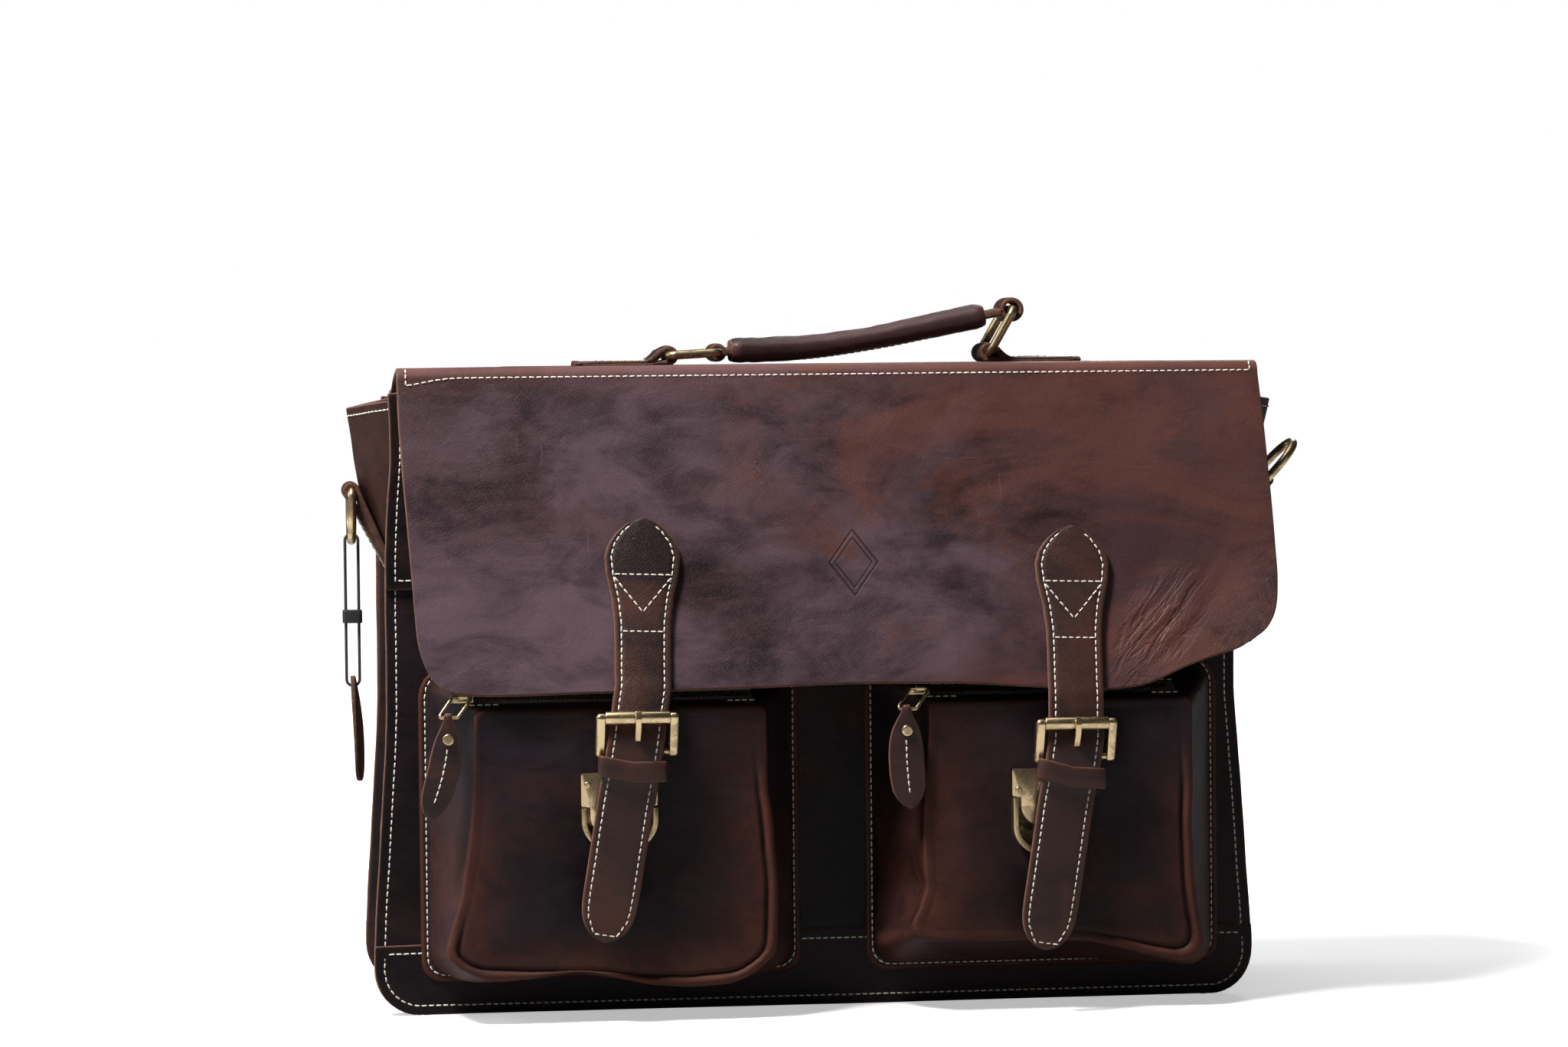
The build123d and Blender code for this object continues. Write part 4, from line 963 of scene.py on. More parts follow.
def ribbon(mesh, backs, half_widths, thick, side_hint=(1, 0, 0), out_hint=(0, -1, 0), groove=True):
    """Leather strap swept along the middle of its back.

    Gives the sideways and outward directions at each point.
    """
    side_hint, out_hint = vec(*side_hint), vec(*out_hint)
    tangents = np.gradient(backs, axis=0)
    tangents /= np.linalg.norm(tangents, axis=1, keepdims=True)
    rings, frames = [], []
    for back, tangent, width in zip(backs, tangents, half_widths):
        side = unit(side_hint - tangent * np.dot(side_hint, tangent))
        out = np.cross(tangent, side)
        if np.dot(out, out_hint) < 0:
            out = -out
        half = half_section(max(width, 0.4), thick, groove)
        ring = half + [(-a, b) for a, b in reversed(half[1:-1])]
        rings.append([back + side * a + out * b for a, b in ring])
        frames.append((side, out))
    rings = np.array(rings)
    count = rings.shape[1]
    start = mesh.grid(rings, [[2] + [1] * 4 + [0] * 14 + [1] * 4 + [2]], close_v=True)
    mesh.fan(start, count, np.mean(rings[0], axis=0), 1, flip=True)
    mesh.fan(start + (len(backs) - 1) * count, count, np.mean(rings[-1], axis=0), 1)
    return frames


def strap_axis(side, z):
    """X of the strap's centre line, which bends once."""
    (head_x, head_z), (bend_x, bend_z), (tip_x, tip_z) = side.strap
    upper = bend_x + (head_x - bend_x) * (z - bend_z) / (head_z - bend_z)
    lower = bend_x - (bend_x - tip_x) * (bend_z - z) / (bend_z - tip_z)
    return lerp(lower, upper, ease((z - (bend_z - 6)) / 12))


def strap_width(side, z):
    return min(table(STRAP_HEAD, side.strap[0][1] - z), table(STRAP_TIP, z - side.strap[2][1]))


def strap_back(side):
    """Back of the strap as y, z: down the flap, over the buckle and down to the tip."""
    head_z, tip_z = side.strap[0][1], side.strap[2][1]
    heel, edge = side.heel_z, side.flap_z
    points = [(flap_y(z), z) for z in np.linspace(head_z + 3, edge + 3, 12)]
    points += [(flap_y(edge) - 0.3, edge), (-101.8, heel + 15.0), (-104.0, heel + 8.5),
               (-104.7, heel + 4), (-104.7, heel - 5), (-102.8, heel - 13), (-102.0, heel - 22)]
    points += [(-102.0 - 0.8 * math.sin((heel - 22 - z) / (heel - 22 - tip_z) * math.pi), z)
               for z in np.linspace(heel - 34, tip_z - 2, 6)]
    return smooth_curve(points, 240)


def build_strap(side):
    head_z, tip_z = side.strap[0][1], side.strap[2][1]
    back = strap_back(side)
    back = back[np.argsort(back[:, 1])]
    zs = np.concatenate([
        head_z - np.array([0, 0.5, 1.2, 2.2, 3.6, 5.2, 7.2, 9.5, 12.0]),
        np.linspace(head_z - 15, tip_z + 16, 84),
        tip_z + np.array([13.5, 11.0, 8.6, 6.4, 4.6, 3.2, 2.0, 1.1, 0.5, 0.0])])
    centres = np.array([(strap_axis(side, z), np.interp(z, back[:, 1], back[:, 0]), z)
                        for z in zs])
    mesh = MeshBuilder()
    frames = ribbon(mesh, centres, [strap_width(side, z) for z in zs], STRAP_THICK)
    mesh.skin(f"strap_{side.name}", STRAP_MATS, "flap")

    def on_strap(across, z, height):
        i = np.interp(z, zs[::-1], np.arange(len(zs))[::-1])
        i0 = int(min(i, len(zs) - 2))
        f = i - i0
        centre, sideways, out = (a * (1 - f) + b * f for a, b in zip(
            (centres[i0], *frames[i0]), (centres[i0 + 1], *frames[i0 + 1])))
        return centre + sideways * across + out * height, out

    def stitch_on(points):
        """points holds across, z and height above the back."""
        path, normals = zip(*[on_strap(*p) for p in points])
        stitches(flap_thread, path, normals)

    # down one edge and back up the other
    edge = []
    for z in np.linspace(head_z - 3.4, tip_z + 3.2, 170):
        w = strap_width(side, z)
        extra = 0.0 if w > 11 else 0.6
        across = max(w - 3.0 * min(w / STRAP_HALF, 1.0) - extra, 0.0)
        edge.append((across, z, 3.1 - 0.35 * ease((across - 5.5) / 4)))
    stitch_on(edge + [(-a, z, h) for a, z, h in reversed(edge)])
    # two cross lines and the sides of a triangle between them
    w1, w2 = (strap_width(side, head_z - drop) - 3.2 for drop in (25, 50))
    for ends in ([(-w1, 25), (w1, 25)], [(-w2, 50), (w2, 50)],      # across, drop from the head
                 [(-w1, 26), (0, 41.5)], [(w1, 26), (0, 41.5)]):
        line = resample(np.array([(a, head_z - drop) for a, drop in ends]), 12)
        stitch_on([(a, z, 3.18) for a, z in line])


# section of a keeper: along the strap, outward
KEEPER_SECTION = [(-4.5, 0.0), (-4.65, 0.55), (-4.4, 1.2), (-3.6, 1.42), (0, 1.5), (3.6, 1.42),
                  (4.4, 1.2), (4.65, 0.55), (4.5, 0.0), (3.0, 0.0), (0, 0.0), (-3.0, 0.0)]


def build_keeper(side):
    """Leather loop round the strap and the short strap behind it."""
    z = side.heel_z - 7.7
    centre = vec(strap_axis(side, z) + 0.7, -103.4, z)
    loop = np.array([centre + vec(*squared_circle(a, 15.2, 5.4, 0.32), 0) for a in angles(64)])
    rings = []
    for i, point in enumerate(loop):
        out = unit(np.cross(vec(0, 0, 1), unit(loop[(i + 1) % len(loop)] - loop[i - 1])))
        if np.dot(out, point - centre) < 0:
            out = -out
        dx = point[0] - centre[0]
        sag = -1.3 * bell(dx, 8.0) * (1 if point[1] < centre[1] else 0) + 0.6
        rings.append([point - out * 1.5 + vec(0, 0, u + dx * side.keeper_tilt * -0.6 + sag)
                      + out * v for u, v in KEEPER_SECTION])
    mesh = MeshBuilder()
    mesh.grid(np.array(rings), [[1, 1, 0, 0, 0, 0, 1, 1, 2, 2, 2, 2]], close_u=True, close_v=True)
    mesh.skin(f"keeper_{side.name}", STRAP_MATS, "flap")


def build_chape(side):
    """Short strap behind, from the heel bar down to the clip."""
    heel, low_z = side.heel_z, side.clip_top - 13
    low_x = (side.buckle_x + side.lock_x) / 2

    def axis(z):
        return lerp(side.buckle_x, low_x, (heel - z) / (heel - low_z))

    mesh = MeshBuilder()
    # two lugs round the bar, either side of the prong
    for u0, u1 in ((-12.0, -2.5), (2.5, 12.0)):
        section = [(u0, 1.58), (u0, 2.5), (u0 + 0.4, 2.72),      # across, radius
                   (u1 - 0.4, 2.72), (u1, 2.5), (u1, 1.58)]
        mesh.grid(np.array([[(side.buckle_x + u, -101.8 - r * math.cos(a), heel + r * math.sin(a))
                             for u, r in section] for a in np.linspace(-2.45, 2.9, 22)]),
                  0, close_v=True)
    backs = np.array([(axis(z), -98.8, z) for z in np.linspace(heel - 2.2, low_z, 12)])
    ribbon(mesh, backs, np.full(len(backs), 12.0), 2.6)
    mesh.skin(f"chape_{side.name}", STRAP_MATS, "flap")
    for across in (-9.2, 9.2):
        stitches(flap_thread, [(axis(z) + across, -101.35, z)
                               for z in np.linspace(heel - 3.4, low_z + 1, 10)], vec(0, -1, 0))


# ------------------------------------------------------------------ pockets
POCKET_TOP_BACK, POCKET_TOP_FRONT = 154.2, 140.6
POCKET_DEPTH = 40.0
FRONT_Y = -94.0
# Outlines of the two fronts as they hang. Edges are z, x; rims and the groove are x, z.
LEFT_POCKET_LEFT = [(18, -161.5), (20, -163), (27, -169.5), (33, -171.8), (43, -169.3),
                    (58, -164.4), (82, -161.3), (109, -159.3), (130, -158), (147, -157.4)]
LEFT_POCKET_RIGHT = [(18, -30), (22, -28.5), (29, -25), (34, -23.8), (61, -23.2),
                     (85, -24.7), (102, -27.4), (125, -28.0), (147, -28.0)]
LEFT_POCKET_RIM = [(-172, 20.8), (-163, 20.0), (-146, 19.6), (-132, 20.9), (-118.5, 22.6),
                   (-111, 22.8), (-98, 20.7), (-81, 16.4), (-62, 14.9), (-43, 16.3),
                   (-29, 20.0), (-20, 21.0)]
LEFT_POCKET_GROOVE = [(-172, 25.6), (-157, 25.7), (-132, 24.2), (-111, 23.8), (-98, 22.9),
                      (-81, 20.4), (-62, 19.7), (-43, 21.4), (-34, 24.0), (-20, 25.0)]
RIGHT_POCKET_LEFT = [(20, 34.5), (33, 34.0), (40, 37.0), (48, 41.2), (57, 44.2),
                     (63, 43.4), (77, 42.8), (105, 43.8), (125, 45.6), (147, 45.6)]
RIGHT_POCKET_RIM = [(30, 32.6), (54, 32.7), (82, 32.1), (103, 32.2), (117, 31.2),
                    (131, 28.4), (145, 24.8), (163, 21.2), (175, 20.6)]
# rings of the flange against the panel: y, inset at the sides, inset below, top z,
# lower radius, upper radius
FLANGE_RINGS = [(-52.1, 0.3, 0.3, 157.5, 9, 14), (-53.0, 0, 0, 158.0, 9, 14.4),
                (-54.0, 0.4, 0.4, 157.5, 9, 14), (-54.15, 2.2, 2.2, 156.8, 8, 13),
                (-53.9, 3.0, 2.8, 156.4, 8, 12.4)]
# rolled rim and groove round the front: y, inset, inset at the top, lower radius, upper radius
RIM_RINGS = [(-93.0, -0.3, 0.0, 12, 3.5), (-94.1, 0.3, 0.6, 12, 3.5), (-95.1, 1.5, 1.6, 11.5, 3.5),
             (-95.3, 2.8, 2.6, 11, 3.2), (-94.6, 4.0, 3.4, 10, 3), (-92.8, 4.7, 3.8, 9.5, 3),
             (-92.6, 5.1, 4.2, 9.3, 3), (-93.9, 6.0, 4.9, 9, 3), (-94.3, 7.4, 6.4, 9, 3)]


def pocket_top(y):
    slope = (POCKET_TOP_BACK - POCKET_TOP_FRONT) / POCKET_DEPTH
    return POCKET_TOP_BACK + slope * (y + 54.0)


def rounded_rect(x0, x1, z0, z1, rb, rt):
    """Points in x, z round a rectangle with lower radius rb and upper radius rt."""
    points = []

    def arc(cx, cz, r, quarter):
        for a in np.linspace(quarter * 0.5 * math.pi, (quarter + 1) * 0.5 * math.pi, 6):
            points.append((cx + r * math.cos(a), cz + r * math.sin(a)))

    def line(p, q):
        for t in np.linspace(0, 1, 28)[1:-1]:
            points.append((lerp(p[0], q[0], t), lerp(p[1], q[1], t)))

    arc(x0 + rb, z0 + rb, rb, 2)
    line((x0 + rb, z0), (x1 - rb, z0))
    arc(x1 - rb, z0 + rb, rb, 3)
    line((x1, z0 + rb), (x1, z1 - rt))
    arc(x1 - rt, z1 - rt, rt, 0)
    line((x1 - rt, z1), (x0 + rt, z1))
    arc(x0 + rt, z1 - rt, rt, 1)
    line((x0, z1 - rt), (x0, z0 + rb))
    return points


def sag_left(x, y, z, k):
    """Move for the full, sagging left pocket; k is 0 at the panel and 1 at the front."""
    kk = k ** 1.3
    rim = table(LEFT_POCKET_RIM, x) - 20.0
    groove = table(LEFT_POCKET_GROOVE, x) - 25.0
    z2 = z + lerp(rim, groove, ease((z - 20.0) / 5.0)) * ease((58 - z) / 36)
    left = (table(LEFT_POCKET_LEFT, z2) + 162.0) * ease((-162 + 48 - x) / 44)
    right = (table(LEFT_POCKET_RIGHT, z2) + 27.0) * ease((x - (-27 - 48)) / 44)
    y -= ease((60 - z) / 45) * k * 0.8 * math.sin(x / 14.0)
    return x + (left + right) * kk, y, lerp(z, z2, kk)


def sag_right(x, y, z, k):
    kk = k ** 1.5
    z2 = z + (table(RIGHT_POCKET_RIM, x) - 22.0) * ease((66 - z) / 44)
    left = (table(RIGHT_POCKET_LEFT, z2) - 44.0) * ease((44 + 40 - x) / 36)
    x, z = x + left * kk, lerp(z, z2, kk)
    # the lower left corner has fallen in, with a rolled fold running down to the flange
    dent = bell(x - 44, 17) * bell(z - 62, 15)
    x += 8.0 * dent * math.sin(math.pi * min(k * 1.05, 1)) ** 0.8
    fold = bell(x - 36, 13) * bell(z - 30, 8) * math.sin(math.pi * min(k, 1)) ** 0.7
    x -= 4.5 * fold
    z += fold
    y += 3.0 * bell(x - 47, 7) * bell(z - 41, 7) * k * k
    y -= 1.8 * bell(x - 38, 5) * bell(z - 36, 5) * k * k
    # the lower right corner bulges
    corner = bell(x - 166, 26) * bell(z - 24, 26)
    return x + 5.0 * corner * k, y - 1.6 * corner * k, z - 2.0 * corner * k


def rim_strength(side, x, z):
    """The rim fades out along the top and is softer on the left."""
    amount = ease((126 - z) / 40)
    if side.name == "right":
        return amount * (0.06 + 0.94 * ease((x - 118) / 30))
    amount *= 0.04 + 0.96 * max(ease((x + 130) / 50), ease((50 - z) / 16))
    if z < 34:
        thickness = table(LEFT_POCKET_GROOVE, x) - table(LEFT_POCKET_RIM, x)
        amount *= 0.25 + 0.75 * ease(thickness / 4.0)
    return amount


def pocket_ring(side, y, shape, inset, low_inset, top, rb, rt, k):
    """One sagging outline; shape is the left x, right x and bottom z before the insets."""
    x0, x1, z0 = shape[0] + inset, shape[1] - inset, shape[2] + low_inset
    sag = sag_left if side.name == "left" else sag_right
    ring = []
    for x, z in rounded_rect(x0, x1, z0, top, rb, rt):
        wave = 0.8 * wobble(x, y, z, 34, side.wall_seed)
        px, py, pz = sag(x, y, z, k)
        if k > 0.05 and z < top - 3:
            out = unit(vec(x - (x0 + x1) / 2, 0, z - (z0 + top) / 2))
            px += out[0] * wave * k
            pz += out[2] * wave * k
        ring.append((px, py, pz))
    return ring


def pocket_grid(side):
    """Rings from the flange out along the walls and in over the front face."""
    base, front = side.base, side.front
    rings = [pocket_ring(side, y, side.flange, inset, low_inset, top, rb, rt, 0)
             for y, inset, low_inset, top, rb, rt in FLANGE_RINGS]
    rings.append(pocket_ring(side, -54.1, base, 0, 0, 155.6, 9, 12, 0))
    rings.append(pocket_ring(side, -54.6, base, 0.8, 0.6, 154.4, 9, 11, 0))
    for t in (0.03, 0.09, 0.17, 0.27, 0.38, 0.5, 0.62, 0.74, 0.84, 0.92, 0.97):
        shape = (lerp(base[0] + 1, front[0], t), lerp(base[1] - 1, front[1], t),
                 lerp(base[2] + 1, front[2], t))
        y = lerp(-54.6, -92.6, t)
        bulge = -2.0 * math.sin(math.pi * t)
        rings.append(pocket_ring(side, y, shape, bulge, bulge, pocket_top(y), lerp(10, 12, t),
                                 lerp(10, 3, min(t / 0.4, 1)), t))
    for y, inset, top_inset, rb, rt in RIM_RINGS:
        ring = pocket_ring(side, y, front, inset, inset, pocket_top(FRONT_Y) - top_inset,
                           rb, rt, 1)
        flat_y = -94.2 if inset > 1 else y
        rings.append([(x, lerp(flat_y, y, 0.03 + 0.97 * rim_strength(side, x, z)), z)
                      for x, _, z in ring])
    last = np.array(rings[-1])
    centre = vec((front[0] + front[1]) / 2, FRONT_Y, (front[2] + 141) / 2)
    for s in (0.93, 0.86, 0.78, 0.70, 0.61, 0.52, 0.43, 0.34, 0.25, 0.16, 0.08, 0.02):
        ring = []
        for x, _, z in centre + (last - centre) * s:
            dx = x - side.lock_x
            free = ease((np.hypot(dx, z - 92) - 22) / 16)      # flat behind the lock
            wave = 0.9 * wobble(x, 0, z, 42, side.front_seed) * free * ease((1 - s) * 6)
            y = FRONT_Y - 1.6 * (1 - s ** 2) * free * 0.9 - wave
            # hollow behind the lock, so that its button has room to move
            y += 2.8 * ease((13 - np.hypot(dx, (z - side.hollow_z) * 1.7)) / 4)
            ring.append((x, y, z))
        rings.append(ring)
    return np.array(rings)


def build_pocket(side):
    f0, f1, fz = side.front
    worn_x = f1 if side.name == "left" else f0 + 12

    def wear_at(x, y, z):
        if y < -93.5:
            inset = min(x - f0, f1 - x, z - fz)
            wear = 0.85 * math.exp(-(max(inset - 3, 0) / 10.0) ** 1.3) * ease((128 - z) / 50)
            wear += 0.30 * bell(x - worn_x, 22) * ease((y + 93) / -1.0)
        elif y < -56:
            wear = 0.55 * bell(z - 62, 34) * (1 if x < f0 else 0.5) + 0.45 * ease((40 - z) / 30)
        else:
            wear = 0.1
        return min(wear, 0.95)

    grid = pocket_grid(side)
    rows, count = grid.shape[:2]
    mesh = MeshBuilder()
    start = mesh.grid(grid, [[1]] + [[0]] * (rows - 1), close_v=True,
                      wear=wear_map(grid, wear_at))
    mesh.fan(start + (rows - 1) * count, count, grid[-1].mean(axis=0), 0)
    mesh.fan(start, count, grid[0].mean(axis=0), 2, flip=True)
    piece = f"pocket_{side.name}"
    mesh.skin(piece, POCKET_MATS_PAINTED_SHADE, "bag", SLOT_BODY,
              [f"{piece}_gusset", f"{piece}_front", f"{piece}_zip_panel"])

    x0, x1, z0 = side.flange
    line = [vec(x, -53.95, z)
            for x, z in rounded_rect(x0 + 3.0, x1 - 3.0, z0 + 2.9, 156.4, 8, 12.4)]
    stitches(bag_thread, line + [line[0]], vec(0, -1, 0))


ZIP_Y = -82
TOOTH_PITCH = 1.9
# levels of a tooth: height, taper
TOOTH_LEVELS = [(-0.75, 1.0), (0.35, 1.0), (0.7, 0.72)]
TOOTH_FACES = [(3, 2, 1, 0), (8, 9, 10, 11)]
for low in (0, 4):
    TOOTH_FACES += [(low + a, low + b, low + b + 4, low + a + 4)
                    for a, b in ((0, 1), (1, 2), (2, 3), (3, 0))]


def build_zip(side):
    """Cloth tape let into the pocket's top, two rows of teeth and lines of stitching."""
    x0, x1 = side.front[0] + 4.5, side.front[1] - 8
    up = unit(vec(0, -0.34, 1.0))
    mesh = MeshBuilder()
    tape = np.array([[vec(x, y, pocket_top(y) + 0.16) for y in (-87.2, -85, -82, -79, -76.8)]
                     for x in np.linspace(x0 - 2, x1 + 2, 60)])
    sheet(mesh, tape, 0.9, mats=(0, 0, 0))
    mesh.build(f"zip_tape_{side.name}", [M_TAPE], "bag", [f"zip_chain_{side.name}"])

    mesh = MeshBuilder()
    half_x = vec(0.52, 0, 0)
    half_y = unit(vec(0, 1, 0.34)) * 1.7
    for i in range(int((x1 - x0) / TOOTH_PITCH)):
        for row in (-1, 1):
            x = x0 + (i + 0.5) * TOOTH_PITCH + (TOOTH_PITCH / 2 if row > 0 else 0)
            y = ZIP_Y + row * 1.1
            centre = vec(x, y, pocket_top(y) + 0.02)
            start = mesh.add([centre + half_x * a * taper + half_y * b * taper + up * height
                              for height, taper in TOOTH_LEVELS
                              for a, b in ((-1, -1), (1, -1), (1, 1), (-1, 1))])
            mesh.add_faces([tuple(start + k for k in face) for face in TOOTH_FACES], 0)
    mesh.build(f"zip_teeth_{side.name}", [M_TEETH], "bag", (), smooth=False)
    for y, xa, xb in ((-88.8, x0 - 3, x0 + 11), (-88.8, x1 - 10, x1 + 3), (-75.2, x0 - 3, x1 + 3)):
        stitches(bag_thread, [vec(x, y, pocket_top(y) + 0.15) for x in np.linspace(xa, xb, 50)], up)


# zip pull: distance below its pivot, half width
PULL_WIDTH = [(-1.9, 1.4), (-0.9, 2.0), (2, 2.6), (5, 4.2), (9, 6.2), (14, 7.4), (20, 8.0),
              (30, 8.0), (36, 7.4), (40, 5.8), (43, 3.4), (44.6, 1.0)]
PULL_Z = 137.8


def build_pull(side):
    """Leather pull with a centre stitch."""
    drops = np.concatenate([np.linspace(-1.9, 36, 26), [38, 40, 41.6, 43, 44, 44.6]])
    backs = []
    for d in drops:
        hang = max(d, 0)
        x = side.pull_x + side.pull_bend * math.sin(hang / 46 * math.pi)
        x += side.pull_drift * (hang / 45) ** 1.5
        backs.append((x, -96.4 + 0.5 * math.sin(d / 46 * math.pi), PULL_Z - d))
    backs = np.array(backs)
    body = f"pull_{side.name}"
    mesh = MeshBuilder()
    frames = ribbon(mesh, backs, [table(PULL_WIDTH, d) * side.pull_width for d in drops], 2.5,
                    groove=False)
    mesh.skin(f"pull_tab_{side.name}", STRAP_MATS, body)
    seam = MeshBuilder()
    rows = [i for i, d in enumerate(drops) if 13 < d < 38.5]
    stitches(seam, [backs[i] + frames[i][1] * 2.85 for i in rows], [frames[i][1] for i in rows])
    seam.build(f"pull_stitch_{side.name}", [M_THREAD], body, ())


# ------------------------------------------------------------------ handle
def wrapped_tab(mesh, skin, liner, half_y, reverse_first):
    """Tab whose skin runs round a profile; liner is the matching inner line as x, z."""
    rows, cols = skin.shape[:2]
    start = mesh.grid(skin, 0, close_u=True)
    edges = []
    for column, y, reverse in ((0, -half_y, reverse_first), (cols - 1, half_y, False)):
        edge = mesh.add([(x, y, z) for x, z in liner])
        edges.append(edge)
        for i in range(rows):
            i2 = (i + 1) % rows
            face = (start + i * cols + column, start + i2 * cols + column, edge + i2, edge + i)
            mesh.add_faces([face[::-1] if reverse else face], 1)
    near, far = edges
    for i in range(rows):
        i2 = (i + 1) % rows
        mesh.add_faces([(near + i, near + i2, far + i2, far + i)], 2)


BAR_HOLE = 2.05     # radius left for a ring's bar
HANDLE_TAB_HALF = 12.0
HANDLE_TAB_TOP = 294.5
HANDLE_BAR_Z = 296.7
HANDLE_TAB_Y = [-12.0, -11.7, -10.6, -9.4, -8.4, -4, 0, 4, 8.4, 9.4, 10.6, 11.7, 12.0]
HANDLE_TAB_SEAM = 9.4


def build_handle_tab(name, bar_x, far_x):
    """Strip that goes round the ring's bar and lies doubled on the flap."""
    s = 1 if far_x > bar_x else -1
    bar = np.array((bar_x, HANDLE_BAR_Z))
    profile = [(x, HANDLE_TAB_TOP) for x in np.linspace(far_x, bar_x + s * 12.5, 16)]
    profile += [(bar_x + s * 10.4, 294.9), (bar_x + s * 8.4, 296.0)]
    lying = len(profile)    # points whose outward direction is straight up
    profile += [(bar_x + s * 6.6, 297.6), (bar_x + s * 5.2, 299.2)]
    profile += [(bar_x + s * 4.5 * math.cos(a), HANDLE_BAR_Z + 4.5 * math.sin(a))
                for a in np.linspace(0.95, 2 * math.pi - 1.95, 26)]
    profile += [(bar_x + s * 2.6, 292.15)]
    profile += [(x, 292.12) for x in np.linspace(bar_x + s * 8, far_x, 10)]
    rows, liner = [], []
    for i, (x, z) in enumerate(profile):
        from_bar = np.array((x, z)) - bar
        if z < 293:
            out = (0, 0)
        else:
            out = (0, 1) if i < lying else unit(from_bar)
        # the outer end is rounded in plan
        half = HANDLE_TAB_HALF - max(8 - abs(x - far_x), 0) ** 2 / 64 * 3.5
        row = []
        for y in HANDLE_TAB_Y:
            a = abs(y)
            inset = 0.55 if a > 11.9 else (0.15 if a > 11.5 else 0.0)
            crown = 0.25 * (1 - (a / HANDLE_TAB_HALF) ** 2) if z > 293.5 else 0
            lift = -0.28 * bell(a - HANDLE_TAB_SEAM, 0.8) + crown - inset
            row.append((x + out[0] * lift, y * half / HANDLE_TAB_HALF, z + out[1] * lift))
        rows.append(row)
        radius = np.linalg.norm(from_bar)
        if radius < 6.5:
            liner.append(bar + from_bar / radius * BAR_HOLE)
        else:
            liner.append((x if s * (x - bar_x) > 3 else bar_x + s * 3, 293.3))
    mesh = MeshBuilder()
    wrapped_tab(mesh, np.array(rows), liner, HANDLE_TAB_HALF, reverse_first=True)
    mesh.skin(f"handle_tab_{name}", STRAP_MATS, "flap")

    # a stitched rectangle with both diagonals
    xa, xb, w = bar_x + s * 10, far_x - s * 3, HANDLE_TAB_SEAM
    for ends in ([(xa, -w), (xb, -w)], [(xa, w), (xb, w)], [(xb, -w), (xb, w)],
                 [(xa, -w), (xa, w)], [(xa, -w), (xb, w)], [(xa, w), (xb, -w)]):
        stitches(flap_thread, [vec(x, y, HANDLE_TAB_TOP - 0.03
                                   + 0.25 * (1 - (y / HANDLE_TAB_HALF) ** 2))
                               for x, y in resample(np.array(ends), 12)], vec(0, 0, 1))


# handle centre lines and end bars, as x, z
HANDLE_LEFT, HANDLE_RIGHT = (-38.4315, 297.9037), (99.8, 316.6186)
HANDLE_LINE = [HANDLE_LEFT, (-30.0, 298.5), (-12.0, 299.0), (10.0, 300.4), (40.0, 304.8),
               (70.0, 310.6), HANDLE_RIGHT]
WRAP_LINE = [(-31.5, 298.75), (-24.0, 298.95), (-12.0, 299.2), (10.0, 300.6), (40.0, 305.0),
             (70.0, 310.8), (86.8, 314.1)]


def line_normals(curve):
    tangents = np.gradient(curve, axis=0)
    tangents /= np.linalg.norm(tangents, axis=1, keepdims=True)
    return np.stack([-tangents[:, 1], tangents[:, 0]], axis=1)


def build_handle_strap():
    """Inner strap, with a loop at each end round a ring's bar."""
    mesh = MeshBuilder()
    for (cx, cz), inner, outer in ((HANDLE_LEFT, 2.06, 4.2), (HANDLE_RIGHT, 3.5, 5.7)):
        section = []        # y, radius
        for y in (-10.0, -9.5, -8.0, 0, 8.0, 9.5, 10.0):
            inset = 0.5 if abs(y) > 9.9 else 0.12 if abs(y) > 9 else 0
            section.append((y, outer - inset + 0.1 * (1 - (y / 10) ** 2)))
        section += [(y, inner) for y in (10.0, 0.0, -10.0)]
        mesh.grid(np.array([[(cx + r * math.cos(a), y, cz + r * math.sin(a)) for y, r in section]
                            for a in angles(40)]),
                  [[0, 0, 0, 0, 0, 0, 1, 2, 2, 1]], close_u=True, close_v=True)
    line = smooth_curve(HANDLE_LINE, 120)
    backs = np.array([(p[0] - n[0] * 1.9, 0, p[1] - n[1] * 1.9)
                      for p, n in zip(line, line_normals(line))
                      if np.hypot(*(p - HANDLE_LEFT)) > 3.0
                      and np.hypot(*(p - HANDLE_RIGHT)) > 4.6])
    ribbon(mesh, backs, np.full(len(backs), 10.0), 3.6, side_hint=(0, 1, 0), out_hint=(0, 0, 1),
           groove=False)
    mesh.skin("handle_strap", STRAP_MATS, "handle")


